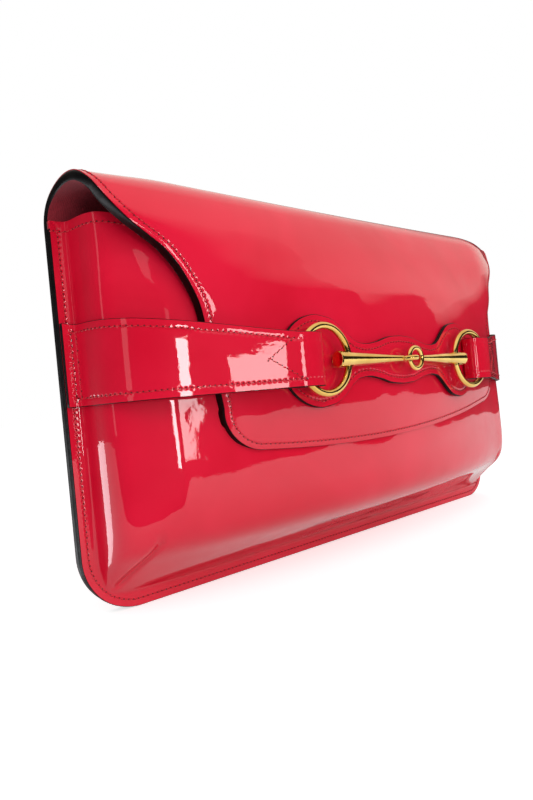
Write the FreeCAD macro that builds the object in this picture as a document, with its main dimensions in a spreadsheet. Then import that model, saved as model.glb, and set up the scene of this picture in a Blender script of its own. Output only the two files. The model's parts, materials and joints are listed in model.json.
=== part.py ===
"""Fold-over clutch purse with a snaffle bit on its band, built as a parametric document.

Frame: +X to the right as the front is seen, +Y to the back, +Z up. The origin is the middle of the
bottom edge, on the plane where the front is sewn to the back.
"""

import FreeCAD
import Part
import math
import os
import Sketcher

DRIVING_SIZES = [
    ("bag_width", 320.0, "width of the back, the flange and the fold"),
    ("back_height", 166.0, "bottom edge to the start of the fold, which is the mouth's height too"),
    ("corner_round", 25.0, "rounding of the two bottom corners"),
    ("hide", 1.3, "patent hide"),
    ("stiffening", 1.7, "board or padding between hide and lining"),
    ("lining", 1.2, "lining of the back and the flap"),
    ("front_lining", 1.0, "lining of the front, the straps and the bit's backing"),
    ("fold_inside", 16.8, "inside radius of the fold over the mouth"),
    ("layer_gap", 0.4, "air between pieces that only lie on each other"),
    ("seam_margin", 8.0, "flange outside the front's bulge, where front and back are sewn"),
    ("side_run", 16.0, "how far the bulge's side wall runs forward"),
    ("side_lean", 2.5, "how far that wall leans in"),
    ("cheek_inset", 13.0, "from the bulge's side to where its front face starts"),
    ("toe_depth", 3.0, "depth of the bulge at the bottom flange"),
    ("knuckle_rise", 32.0, "height of the bulge's lower knuckle"),
    ("knuckle_fall", 3.0, "how much shallower the bulge is there than at its fullest"),
    ("belly_drop", 66.0, "from the mouth down to the fullest place"),
    ("belly_depth", 49.0, "depth of the fullest place"),
    ("brow_drop", 31.0, "from the mouth down to where the front starts to lean back"),
    ("brow_fall", 1.0, "how much shallower the bulge is there than at its fullest"),
    ("bow", 19.0, "how much the front face falls back from its middle to its cheeks"),
    ("mouth_bow", 4.0, "the same at the mouth"),
    ("facing_drop", 17.0, "depth of the strip that faces the mouth inside"),
    ("pocket_wide", 150.0, "width of the slip pocket on the back lining"),
    ("pocket_high", 95.0, "height of the slip pocket"),
    ("pocket_low", 45.0, "slip pocket's lower edge above the bottom"),
    ("pocket_seam", 4.0, "sewn rim of the slip pocket"),
    ("pocket_room", 0.8, "air inside the flat slip pocket"),
    ("shoulder_inset", 44.8, "from the bag's side to the flap's shoulder"),
    ("shoulder_drop", 23.7, "from the mouth down to the flap's shoulder"),
    ("shoulder_round", 30.0, "rounding of the flap's shoulder"),
    ("tongue_drop", 13.3, "from the shoulder down to the tongue, just above the band"),
    ("tongue_top_inset", 46.8, "from the bag's side to the tongue at its top"),
    ("tongue_inset", 56.0, "from the bag's side to the tongue's bottom corner"),
    ("tongue_tail", 38.1, "from the band's line down to the tongue's bottom edge"),
    ("tongue_round", 20.0, "rounding of the tongue's corners"),
    ("flap_root_inset", 8.0, "from the bag's side to the flap's edge where it leaves the fold"),
    ("flap_root_lift", 7.0, "height of that place above the mouth"),
    ("fold_front_inset", 1.0, "from the bag's side to the fold's front edge at its crown"),
    ("band_drop", 65.9, "from the mouth down to the band's line at the middle"),
    ("band_slant", 0.024, "how much the band drops for each millimetre to the right"),
    ("eye_lift", 0.3, "air between the flat eye and the backing"),
    ("ring_lift", 3.0, "the rings' plane in front of the backing's middle"),
    ("strap_end_drop", 13.4, "a strap's lower edge at the flange, below the band's line"),
    ("strap_end_lift", 21.6, "a strap's upper edge there, above the band's line"),
    ("strap_loop_half", 11.75, "half height of a strap at its loop"),
    ("strap_end_inset", 0.6, "from the flange's edge to the strap's end"),
    ("loop_room", 2.6, "half of the air inside a strap's loop"),
    ("loop_inset", 3.9, "from a ring's centre to the inside of the loop's fold"),
    ("loop_tail", 18.4, "from a ring's centre to the sewn end of the loop's slot"),
    ("loop_root", 24.0, "from a ring's centre to where the strap's two layers part"),
    ("loop_round", 2.5, "rounding inside the loop's fold"),
    ("tail_behind", 1.9, "room behind a ring at the sewn end of its slot"),
    ("tail_before", 0.3, "room in front of a ring there"),
    ("strap_lift", 0.3, "air between a strap's loop and the backing"),
    ("turn_inset", 47.5, "from the bag's side to where a strap turns over the flap's edge"),
    ("ring_out", 61.0, "distance of a ring's centre from the middle"),
    ("ring_round", 15.5, "radius of a ring's wire line"),
    ("ring_wire", 1.7, "radius of a ring's wire"),
    ("lobe_out", 58.0, "distance of the backing's outer lobes from the middle"),
    ("lobe_round", 21.5, "radius of those lobes"),
    ("mid_lobe_round", 12.0, "radius of the backing's middle lobe"),
    ("neck_half", 8.0, "half height of the backing's necks"),
    ("bit_overrun", 6.8, "length of a bit bar outside its ring's wire line"),
    ("bit_butt", 4.1, "radius of a bit bar at its outer end"),
    ("bit_neck", 1.9, "radius of a bit bar beside its eye"),
    ("bit_bore", 2.4, "radius of the hole that a ring passes through"),
    ("eye_wire", 1.3, "radius of the eyes' wire"),
    ("eye_slack", 0.4, "half of the slack between the two linked eyes"),
    ("left_eye_round", 4.2, "radius of the left bar's eye, which lies flat"),
    ("right_eye_round", 5.3, "radius of the right bar's eye, which stands upright"),
]

JOINT_COUNT = 4  # hinge lines across the fold
OVERCUT = 5.0  # cutting tools pass the material by this much

doc = FreeCAD.newDocument("clutch_purse")
sheet = doc.addObject("Spreadsheet::Sheet", "Sizes")


class Size:
    """A length in millimetres that carries the sheet formula it comes from."""

    def __init__(self, value, formula):
        self.value = value
        self.formula = formula

    @staticmethod
    def of(other):
        if isinstance(other, Size):
            return other
        return Size(float(other), repr(float(other)))

    def join(self, other, sign, value):
        return Size(value, f"({self.formula} {sign} {Size.of(other).formula})")

    def __add__(self, other):
        return self.join(other, "+", self.value + Size.of(other).value)

    def __sub__(self, other):
        return self.join(other, "-", self.value - Size.of(other).value)

    def __mul__(self, other):
        return self.join(other, "*", self.value * Size.of(other).value)

    def __truediv__(self, other):
        return self.join(other, "/", self.value / Size.of(other).value)

    def __neg__(self):
        return Size(0.0, "0") - self

    def __float__(self):
        return self.value


def fill_sheet():
    """Writes the driving sizes into the sheet and returns them by name."""
    sizes = {}
    for row, (alias, value, note) in enumerate(DRIVING_SIZES, start=1):
        sheet.set(f"A{row}", alias)
        sheet.set(f"B{row}", str(value))
        sheet.set(f"C{row}", note)
        sheet.setAlias(f"B{row}", alias)
    doc.recompute()
    for alias, _, _ in DRIVING_SIZES:
        sizes[alias] = Size(float(sheet.get(alias)), f"Sizes.{alias}")
    return sizes


S = fill_sheet()
ZERO = Size(0.0, "0")
LAMINATE = S["lining"] + S["stiffening"] + S["hide"]
FRONT_STACK = S["front_lining"] + S["hide"]
HALF = S["bag_width"] / 2
FOLD_Y = -S["fold_inside"]  # the fold's centre line lies this far in front of the seam plane
CHEEK_OUT = HALF - S["seam_margin"] - S["cheek_inset"]
MOUTH_DEPTH = S["fold_inside"] * 2 - S["layer_gap"]
FLAP_START = S["layer_gap"]  # the flap's lining starts this far outside the bulge
BELLY_RISE = S["back_height"] - S["belly_drop"]
BROW_RISE = S["back_height"] - S["brow_drop"]
KNUCKLE_DEPTH = S["belly_depth"] - S["knuckle_fall"]
BROW_DEPTH = S["belly_depth"] - S["brow_fall"]
SHOULDER_OUT = HALF - S["shoulder_inset"]
SHOULDER_RISE = S["back_height"] - S["shoulder_drop"]
TONGUE_TOP_OUT = HALF - S["tongue_top_inset"]
TONGUE_RISE = SHOULDER_RISE - S["tongue_drop"]
TONGUE_OUT = HALF - S["tongue_inset"]
BAND_CENTRE = S["back_height"] - S["band_drop"]
TONGUE_END = BAND_CENTRE - S["tongue_tail"]
FLAP_ROOT_OUT = HALF - S["flap_root_inset"]
FLAP_ROOT_RISE = S["back_height"] + S["flap_root_lift"]
FOLD_FRONT_OUT = HALF - S["fold_front_inset"]
CROWN = S["back_height"] + S["fold_inside"] + LAMINATE  # top of the fold
BAND_BACK = S["belly_depth"] + S["layer_gap"] + LAMINATE + S["layer_gap"]
BAND_FACE = BAND_BACK + FRONT_STACK
RING_REACH = BAND_FACE + S["ring_lift"]  # the rings' plane
BAND_REACH = BAND_FACE + S["eye_lift"] + S["left_eye_round"] + S["eye_wire"]  # the linked eyes
LOOP_TAIL_BACK = RING_REACH - S["ring_wire"] - S["tail_behind"]
LOOP_TAIL_FRONT = RING_REACH + S["ring_wire"] + S["tail_before"]
TURN_OUT = HALF - S["turn_inset"]
RING_INNER = S["ring_out"] - S["ring_round"]  # where a ring passes through its bit bar


def band_height(x):
    """Height of the band's line at x."""
    return BAND_CENTRE - Size.of(x) * S["band_slant"]


def face_fall(out):
    """How far the bowed front has fallen back at a distance from the middle."""
    return S["bow"] * (Size.of(out) / CHEEK_OUT) * (Size.of(out) / CHEEK_OUT)


def band_depth(out):
    """Depth of the face that the straps' loops lie on, at a distance from the middle."""
    return BAND_FACE - face_fall(out)


def plane(body, role):
    """The body's own origin plane with that role."""
    return next(f for f in body.Origin.OriginFeatures if f.Role == role)


def bind(feature, prop, size):
    """Binds a feature's property to a size's sheet formula."""
    feature.setExpression(prop, Size.of(size).formula)


def new_body(label):
    """An empty body that becomes the node with that label."""
    body = doc.addObject("PartDesign::Body", label)
    body.Label = label
    return body


def new_sketch(body, name, role, offset=ZERO):
    """A sketch on one of the body's origin planes, moved along the plane's normal by offset."""
    sketch = body.newObject("Sketcher::SketchObject", name)
    sketch.AttachmentSupport = [(plane(body, role), "")]
    sketch.MapMode = "FlatFace"
    sketch.AttachmentOffset = FreeCAD.Placement(
        FreeCAD.Vector(0, 0, float(offset)), FreeCAD.Rotation()
    )
    bind(sketch, "AttachmentOffset.Base.z", offset)
    return sketch


def pin_point(sketch, index, end, x, y):
    """Fixes a sketch point at x, y with two dimensions bound to their formulas."""
    for kind, size in (("DistanceX", x), ("DistanceY", y)):
        size = Size.of(size)
        number = sketch.addConstraint(
            Sketcher.Constraint(kind, -1, 1, index, end, size.value)
        )
        sketch.setExpression(f"Constraints[{number}]", size.formula)


def bind_radius(sketch, index, size):
    """Gives an arc or circle a radius bound to its formula."""
    size = Size.of(size)
    number = sketch.addConstraint(Sketcher.Constraint("Radius", index, size.value))
    sketch.setExpression(f"Constraints[{number}]", size.formula)


def flat_vector(x, y):
    return FreeCAD.Vector(float(x), float(y), 0)


def rounded_corner(before, corner, after, radius):
    """Start, middle and end of the arc that rounds a corner between two straight lines."""
    back = (before - corner).normalize()
    ahead = (after - corner).normalize()
    half_angle = back.getAngle(ahead) / 2
    run = radius / math.tan(half_angle)
    inward = (back + ahead).normalize()
    middle = corner + inward * (radius / math.sin(half_angle) - radius)
    return corner + back * run, middle, corner + ahead * run


def draw_polygon(sketch, corners):
    """A closed outline. Each corner is (x, y) or (x, y, radius), where radius rounds it."""
    points = [flat_vector(c[0], c[1]) for c in corners]
    count = len(corners)
    arcs = {}
    for i, corner in enumerate(corners):
        if len(corner) == 3:
            arcs[i] = rounded_corner(
                points[i - 1], points[i], points[(i + 1) % count], float(corner[2])
            )
    lines = []
    for i in range(count):
        j = (i + 1) % count
        start = arcs[i][2] if i in arcs else points[i]
        end = arcs[j][0] if j in arcs else points[j]
        lines.append(sketch.addGeometry(Part.LineSegment(start, end)))
    for i, corner in enumerate(corners):
        if i not in arcs:
            sketch.addConstraint(
                Sketcher.Constraint("Coincident", lines[i - 1], 2, lines[i], 1)
            )
            pin_point(sketch, lines[i], 1, corner[0], corner[1])
            continue
        arc = sketch.addGeometry(Part.Arc(*arcs[i]))
        first, last = arc_ends(sketch, arc, arcs[i][0])
        sketch.addConstraint(Sketcher.Constraint("Tangent", lines[i - 1], 2, arc, first))
        sketch.addConstraint(Sketcher.Constraint("Tangent", arc, last, lines[i], 1))
        bind_radius(sketch, arc, corner[2])
        mark = sketch.addGeometry(Part.Point(points[i]), True)
        pin_point(sketch, mark, 1, corner[0], corner[1])
        sketch.addConstraint(Sketcher.Constraint("PointOnObject", mark, 1, lines[i - 1]))
        sketch.addConstraint(Sketcher.Constraint("PointOnObject", mark, 1, lines[i]))


def arc_ends(sketch, arc, start):
    """The arc's end numbers, the one at start first."""
    starts_there = sketch.getPoint(arc, 1).distanceToPoint(start) < 1e-6
    return (1, 2) if starts_there else (2, 1)


def draw_bowed(sketch, corners, first, middle):
    """An outline whose edge from corner number first to the next is an arc through middle."""
    points = [flat_vector(*c) for c in corners]
    edges = []
    for i, point in enumerate(points):
        following = points[(i + 1) % len(points)]
        if i == first:
            edge = Part.Arc(point, flat_vector(*middle), following)
        else:
            edge = Part.LineSegment(point, following)
        edges.append(sketch.addGeometry(edge))
    ends = [(1, 2)] * len(points)
    ends[first] = arc_ends(sketch, edges[first], points[first])
    for i, corner in enumerate(corners):
        sketch.addConstraint(
            Sketcher.Constraint("Coincident", edges[i - 1], ends[i - 1][1], edges[i], ends[i][0])
        )
        pin_point(sketch, edges[i], ends[i][0], *corner)
    half_span = (Size.of(corners[first + 1][0]) - corners[first][0]) / 2
    rise = Size.of(corners[first][1]) - middle[1]
    bind_radius(sketch, edges[first], (half_span * half_span + rise * rise) / (rise * 2))


def pad(body, sketch, length):
    """Pads a sketch along its plane's normal."""
    feature = body.newObject("PartDesign::Pad", f"{sketch.Name}_pad")
    feature.Profile = sketch
    bind(feature, "Length", length)
    body.Tip = feature
    return feature


def cut_away(body, sketch, against_normal=False):
    """Cuts a sketch through the whole body, and checks that it took something away."""
    doc.recompute()
    before = body.Shape.Volume
    feature = body.newObject("PartDesign::Pocket", f"{sketch.Name}_cut")
    feature.Profile = sketch
    feature.Type = "ThroughAll"
    feature.Reversed = against_normal
    body.Tip = feature
    doc.recompute()
    if not body.Shape.Volume < before - 1e-6:
        raise RuntimeError(f"{sketch.Label} cuts nothing from {body.Label}")
    return feature


def loft(body, kind, name, sketches):
    """A ruled loft through sketches, which adds to the body or is cut from it."""
    feature = body.newObject(f"PartDesign::{kind}Loft", name)
    feature.Profile = sketches[0]
    feature.Sections = sketches[1:]
    feature.Ruled = True
    body.Tip = feature
    return feature


def placed(kind, name, position, rotation=None, **sizes):
    """A Part primitive with every size bound and its base at position."""
    feature = doc.addObject(kind, name)
    for prop, size in sizes.items():
        bind(feature, prop, size)
    feature.Placement = FreeCAD.Placement(
        FreeCAD.Vector(*(float(p) for p in position)), rotation or FreeCAD.Rotation()
    )
    for axis, coordinate in zip("xyz", position):
        bind(feature, f"Placement.Base.{axis}", coordinate)
    return feature


# ---------------------------------------------------------------- outlines


def panel_outline(body, name, offset):
    """The back's outline: straight sides, rounded bottom corners, up to the mouth's height."""
    sketch = new_sketch(body, name, "XZ_Plane", offset)
    draw_polygon(
        sketch,
        [
            (-HALF, ZERO, S["corner_round"]),
            (HALF, ZERO, S["corner_round"]),
            (HALF, S["back_height"]),
            (-HALF, S["back_height"]),
        ],
    )
    return sketch


def fold_sector(body, name, inner, thickness, start_degrees, end_degrees):
    """A slice of the fold between two angles, seen from the side, over the whole width."""
    sketch = new_sketch(body, name, "YZ_Plane", -HALF)
    outer = inner + thickness
    centre = flat_vector(FOLD_Y, S["back_height"])

    def at(radius, degrees):
        angle = math.radians(degrees)
        return centre + FreeCAD.Vector(math.cos(angle), math.sin(angle), 0) * float(radius)

    def arc(radius):
        circle = Part.Circle(centre, FreeCAD.Vector(0, 0, 1), float(radius))
        return Part.ArcOfCircle(circle, math.radians(start_degrees), math.radians(end_degrees))

    inside = sketch.addGeometry(arc(inner))
    outside = sketch.addGeometry(arc(outer))
    sides = [
        sketch.addGeometry(Part.LineSegment(at(inner, angle), at(outer, angle)))
        for angle in (start_degrees, end_degrees)
    ]
    for side, end in zip(sides, (1, 2)):
        sketch.addConstraint(Sketcher.Constraint("Coincident", inside, end, side, 1))
        sketch.addConstraint(Sketcher.Constraint("Coincident", outside, end, side, 2))
    sketch.addConstraint(Sketcher.Constraint("Coincident", inside, 3, outside, 3))
    pin_point(sketch, inside, 3, FOLD_Y, S["back_height"])
    bind_radius(sketch, inside, inner)
    bind_radius(sketch, outside, outer)
    for side, angle in zip(sides, (start_degrees, end_degrees)):
        sketch.addConstraint(Sketcher.Constraint("PointOnObject", inside, 3, side))
        fix_direction(sketch, side, angle)
    pad(body, sketch, S["bag_width"])


def fix_direction(sketch, line, degrees):
    """Fixes a line's angle to the sketch's horizontal axis."""
    sketch.addConstraint(
        Sketcher.Constraint("Angle", -1, 1, line, 1, math.radians(degrees))
    )


def bulge_levels(offset):
    """Height, depth and bow of the front's bulge at each level, for a layer offset outward."""
    rise = -offset * 1.15  # a sloping floor's inside stands this much higher
    flat = S["toe_depth"] / 6
    return [
        (S["seam_margin"] + rise, S["toe_depth"], flat),
        (S["knuckle_rise"] + rise, KNUCKLE_DEPTH + offset, S["bow"]),
        (BELLY_RISE, S["belly_depth"] + offset, S["bow"]),
        (BROW_RISE, BROW_DEPTH + offset, S["bow"]),
        (S["back_height"], MOUTH_DEPTH + offset, S["mouth_bow"]),
    ]


def bulge_sections(body, prefix, offset, back, levels):
    """Plan sections of the bulge: side walls, cheeks and a bowed front face, closed at y = back."""
    side = HALF - S["seam_margin"] + offset
    slope = S["side_lean"] / S["side_run"]
    root = side + Size.of(back) * slope  # the wall's line carried to back
    sketches = []
    for number, (height, depth, bow) in enumerate(levels):
        cheek_depth = depth - bow
        wall_share = S["side_run"] / (S["belly_depth"] - S["bow"])
        wall_depth = cheek_depth * wall_share
        lean = wall_depth * slope
        sketch = new_sketch(body, f"{prefix}_{number}", "XY_Plane", height)
        draw_bowed(
            sketch,
            [
                (-root, back),
                (-side + lean, -wall_depth),
                (-CHEEK_OUT - offset, -cheek_depth),
                (CHEEK_OUT + offset, -cheek_depth),
                (side - lean, -wall_depth),
                (root, back),
            ],
            2,
            (ZERO, -depth),
        )
        sketches.append(sketch)
    return sketches


def bulge_shell(body, outer, thickness, back):
    """A wall of the bulge: what lies between two layers' lofts, open at the mouth and the seam."""
    loft(body, "Additive", "bulge", bulge_sections(body, "outer", outer, back, bulge_levels(outer)))
    inner = outer - thickness
    levels = bulge_levels(inner)
    _, mouth_depth, mouth_bow = levels[-1]
    levels.append((S["back_height"] + OVERCUT, mouth_depth, mouth_bow))
    loft(
        body,
        "Subtractive",
        "hollow",
        bulge_sections(body, "inner", inner, Size.of(OVERCUT), levels),
    )


def flap_sections(body, prefix, offset, half, back):
    """Plan sections of the flap: bowed faces as wide as half, and a straight one at the fold."""
    spread = half / CHEEK_OUT
    sketches = []
    for number, (height, depth, bow) in enumerate(bulge_levels(ZERO)[1:-1]):
        edge = -(depth + offset - bow * spread * spread)
        sketch = new_sketch(body, f"{prefix}_{number}", "XY_Plane", height)
        draw_bowed(
            sketch,
            [(-half, back), (-half, edge), (half, edge), (half, back)],
            1,
            (ZERO, -(depth + offset)),
        )
        sketches.append(sketch)
    top = new_sketch(body, f"{prefix}_top", "XY_Plane", S["back_height"])
    edge = -(MOUTH_DEPTH + offset)
    draw_polygon(top, [(-half, back), (-half, edge), (half, edge), (half, back)])
    sketches.append(top)
    return sketches


def flap_sheet(body, start, thickness):
    """One layer of the flap in front of the bulge, before its outline is cut."""
    outer = flap_sections(body, "face", start + thickness, HALF, ZERO)
    loft(body, "Additive", "sheet", outer)
    inner = flap_sections(body, "inside", start, HALF + OVERCUT, Size.of(OVERCUT))
    loft(body, "Subtractive", "behind", inner)


def trim_to(body, name, corners):
    """Cuts away all of a body that lies outside an outline seen from the front."""
    sketch = new_sketch(body, name, "XZ_Plane")
    wide = HALF + OVERCUT * 4
    high = S["back_height"] + S["fold_inside"] + LAMINATE + OVERCUT * 4
    frame = [(-wide, -S["back_height"]), (wide, -S["back_height"]), (wide, high), (-wide, high)]
    draw_polygon(sketch, frame)
    draw_polygon(sketch, corners)
    cut_away(body, sketch, against_normal=True)


# ---------------------------------------------------------------- angles of the fold

SECTOR = 180.0 / JOINT_COUNT
ROOT = SECTOR / 2
CREASE_GAP = 0.4  # degrees of air on each side of a hinge line


# ---------------------------------------------------------------- sub-parts


def laminate_layers(names):
    """Names each layer of the laminate with its distance from the inside and its thickness."""
    thicknesses = [S["lining"], S["stiffening"], S["hide"]]
    start = ZERO
    layers = []
    for name, thickness in zip(names, thicknesses):
        layers.append((name, start, thickness))
        start = start + thickness
    return layers


def build_back():
    """The back: three layers that carry the first part of the fold."""
    for label, start, thickness in laminate_layers(["back_lining", "back_stiffener", "back_panel"]):
        body = new_body(label)
        pad(body, panel_outline(body, "outline", -(start + thickness)), thickness)
        fold_sector(
            body, "fold_root", S["fold_inside"] + start, thickness, 0.0, ROOT - CREASE_GAP
        )


def build_front():
    """The front: a flange sewn to the back, and a bulge with a lining and a faced mouth."""
    lining = new_body("front_lining")
    pad(lining, panel_outline(lining, "flange", ZERO), S["front_lining"])
    bulge_shell(lining, -S["hide"], S["front_lining"], ZERO)

    hide = new_body("front_panel")
    pad(hide, panel_outline(hide, "flange", S["front_lining"]), S["hide"])
    bulge_shell(hide, ZERO, S["hide"], -S["front_lining"])

    facing = new_body("mouth_facing")
    bulge_shell(facing, -FRONT_STACK, S["hide"], -S["front_lining"])
    below = new_sketch(facing, "below", "XY_Plane", S["back_height"] - S["facing_drop"])
    draw_polygon(below, [(-HALF, -HALF), (HALF, -HALF), (HALF, HALF), (-HALF, HALF)])
    cut_away(facing, below)


def build_slip_pocket():
    """A flat pocket sewn to the back lining on three sides, open at its top."""
    body = new_body("slip_pocket")
    half = S["pocket_wide"] / 2
    top = S["pocket_low"] + S["pocket_high"]
    outline = new_sketch(body, "outline", "XZ_Plane")
    draw_polygon(
        outline,
        [(-half, S["pocket_low"]), (half, S["pocket_low"]), (half, top), (-half, top)],
    )
    pad(body, outline, S["pocket_room"] + S["lining"])
    inside_half = half - S["pocket_seam"]
    inside_low = S["pocket_low"] + S["pocket_seam"]
    room = new_sketch(body, "room", "XZ_Plane")
    above = top + OVERCUT
    draw_polygon(
        room,
        [
            (-inside_half, inside_low),
            (inside_half, inside_low),
            (inside_half, above),
            (-inside_half, above),
        ],
    )
    hollow = cut_away(body, room, against_normal=True)
    hollow.Type = "Length"
    bind(hollow, "Length", S["pocket_room"])


def build_fold():
    """The fold's strips between the hinge lines, three layers each."""
    for number, place in enumerate(["rear", "crown", "front"]):
        start = ROOT + number * SECTOR + CREASE_GAP
        end = ROOT + (number + 1) * SECTOR - CREASE_GAP
        names = [f"fold_{place}_lining", f"fold_{place}_padding", f"fold_{place}_hide"]
        for label, inside, thickness in laminate_layers(names):
            body = new_body(label)
            fold_sector(body, "strip", S["fold_inside"] + inside, thickness, start, end)
            if place == "front":
                trim_to(body, "ends", fold_end_outline())


def fold_end_outline():
    """The fold's outline between its crown and the flap, seen from the front."""
    return [
        (-FLAP_ROOT_OUT, FLAP_ROOT_RISE),
        (FLAP_ROOT_OUT, FLAP_ROOT_RISE),
        (FOLD_FRONT_OUT, CROWN),
        (-FOLD_FRONT_OUT, CROWN),
    ]


def build_flap():
    """The flap down to the band, and its tongue, which tucks under the band."""
    for label, start, thickness in laminate_layers(["flap_lining", "flap_stiffener", "flap_panel"]):
        body = new_body(label)
        flap_sheet(body, FLAP_START + start, thickness)
        fold_sector(
            body, "root", S["fold_inside"] + start, thickness, 180.0 - ROOT + CREASE_GAP, 180.0
        )
        trim_to(
            body,
            "outline",
            [
                (-FOLD_FRONT_OUT, CROWN),
                (-FLAP_ROOT_OUT, FLAP_ROOT_RISE),
                (-SHOULDER_OUT, SHOULDER_RISE, S["shoulder_round"]),
                (-TONGUE_TOP_OUT, TONGUE_RISE),
                (TONGUE_TOP_OUT, TONGUE_RISE),
                (SHOULDER_OUT, SHOULDER_RISE, S["shoulder_round"]),
                (FLAP_ROOT_OUT, FLAP_ROOT_RISE),
                (FOLD_FRONT_OUT, CROWN),
            ],
        )
    for label, start, thickness in laminate_layers(["tongue_lining", "tongue_padding", "flap_tongue"]):
        body = new_body(label)
        flap_sheet(body, FLAP_START + start, thickness)
        trim_to(
            body,
            "outline",
            [
                (-TONGUE_TOP_OUT, TONGUE_RISE),
                (-TONGUE_OUT, TONGUE_END, S["tongue_round"]),
                (TONGUE_OUT, TONGUE_END, S["tongue_round"]),
                (TONGUE_TOP_OUT, TONGUE_RISE),
            ],
        )


def strap_path():
    """The strap's inside face seen from above: distance from the middle, and depth."""
    side = HALF - S["seam_margin"]
    wall = S["side_run"]
    cheek = S["belly_depth"] - S["bow"]
    gap = S["layer_gap"]
    turn = TURN_OUT
    flap_face = S["belly_depth"] + gap + LAMINATE - face_fall(turn)
    root = S["ring_out"] + S["loop_root"]
    return [
        (HALF - S["strap_end_inset"], FRONT_STACK),
        (side + gap * 2, FRONT_STACK),
        (side - S["side_lean"] + gap * 2, wall),
        (CHEEK_OUT + gap, cheek + gap),
        (turn, flap_face + gap),
        (root, band_depth(root) + S["strap_lift"]),
    ]


def moved_out(path, distance):
    """A path shifted forward by distance, with mitred corners. Its ends stay where they are."""
    points = [FreeCAD.Vector(float(x), float(y), 0) for x, y in path]
    normals = []
    for here, there in zip(points, points[1:]):
        along = (there - here).normalize()
        normals.append(FreeCAD.Vector(along.y, -along.x, 0))
    shifted = []
    for i, point in enumerate(points):
        before = normals[max(i - 1, 0)]
        after = normals[min(i, len(normals) - 1)]
        mitre = (before + after).normalize()
        if i in (0, len(points) - 1):
            mitre = FreeCAD.Vector(0, 1, 0)
        share = distance / mitre.dot(after)
        shifted.append(point + mitre * share)
    return [(p.x, p.y) for p in shifted]


def draw_fixed(sketch, points, side):
    """A closed outline through worked-out points, mirrored for the right side."""
    corners = [FreeCAD.Vector(side * float(p[0]), -float(p[1]), 0) for p in points]
    for start, end in zip(corners, corners[1:] + corners[:1]):
        line = sketch.addGeometry(Part.LineSegment(start, end))
        sketch.addConstraint(Sketcher.Constraint("Block", line))


def taper_strap(body, side):
    """Cuts a strap to its width: wide at the flange, narrow at its loop."""
    half = S["strap_loop_half"]
    outer = HALF * side
    loop = (S["ring_out"] + S["loop_tail"]) * side
    inner = (S["ring_out"] - OVERCUT) * side
    corners = [
        (inner, band_height(inner) - half),
        (loop, band_height(loop) - half),
        (outer, band_height(outer) - S["strap_end_drop"]),
        (outer, band_height(outer) + S["strap_end_lift"]),
        (loop, band_height(loop) + half),
        (inner, band_height(inner) + half),
    ]
    trim_to(body, "taper", corners)


def build_strap(name, side):
    """A strap: hide folded round a ring, and a lining from the flange to the loop."""
    path = strap_path()
    lining_face = moved_out(path, float(S["front_lining"]))
    hide_face = moved_out(path, float(FRONT_STACK))
    end = band_height(HALF * side)
    low = end - S["strap_end_drop"] - OVERCUT
    high = S["strap_end_drop"] + S["strap_end_lift"] + S["strap_loop_half"] + OVERCUT

    lining = new_body(f"strap_{name}_lining")
    section = new_sketch(lining, "section", "XY_Plane", low)
    draw_fixed(section, path + lining_face[::-1], side)
    pad(lining, section, high)
    taper_strap(lining, side)

    body = new_body(f"strap_{name}")
    front = float(RING_REACH + S["loop_room"] + S["hide"])
    fold = S["ring_out"] + S["loop_inset"] - S["hide"]
    back = float(band_depth(fold) + S["strap_lift"])
    fold = float(fold)
    bevel = (front - back) / 4
    loop = [
        (path[-1][0], path[-1][1]),
        (fold + bevel, back),
        (fold, back + bevel),
        (fold, front - bevel),
        (fold + bevel, front),
        (S["ring_out"] + S["loop_tail"], LOOP_TAIL_FRONT + S["hide"]),
    ]
    section = new_sketch(body, "section", "XY_Plane", low)
    draw_fixed(section, lining_face + loop + hide_face[-2::-1], side)
    pad(body, section, high)
    slot = new_sketch(body, "slot", "XY_Plane", low)
    draw_polygon(slot, slot_corners(side))
    cut_away(body, slot, against_normal=True)
    taper_strap(body, side)


def slot_corners(side):
    """The room inside a strap's loop seen from above."""
    near_out = S["ring_out"] + S["loop_inset"]
    near = near_out * side
    far = (S["ring_out"] + S["loop_tail"]) * side
    front = -(RING_REACH + S["loop_room"])
    back = -(band_depth(near_out) + S["strap_lift"] + S["hide"])
    return [
        (near, back, S["loop_round"]),
        (far, -LOOP_TAIL_BACK),
        (far, -LOOP_TAIL_FRONT),
        (near, front, S["loop_round"]),
    ]


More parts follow.
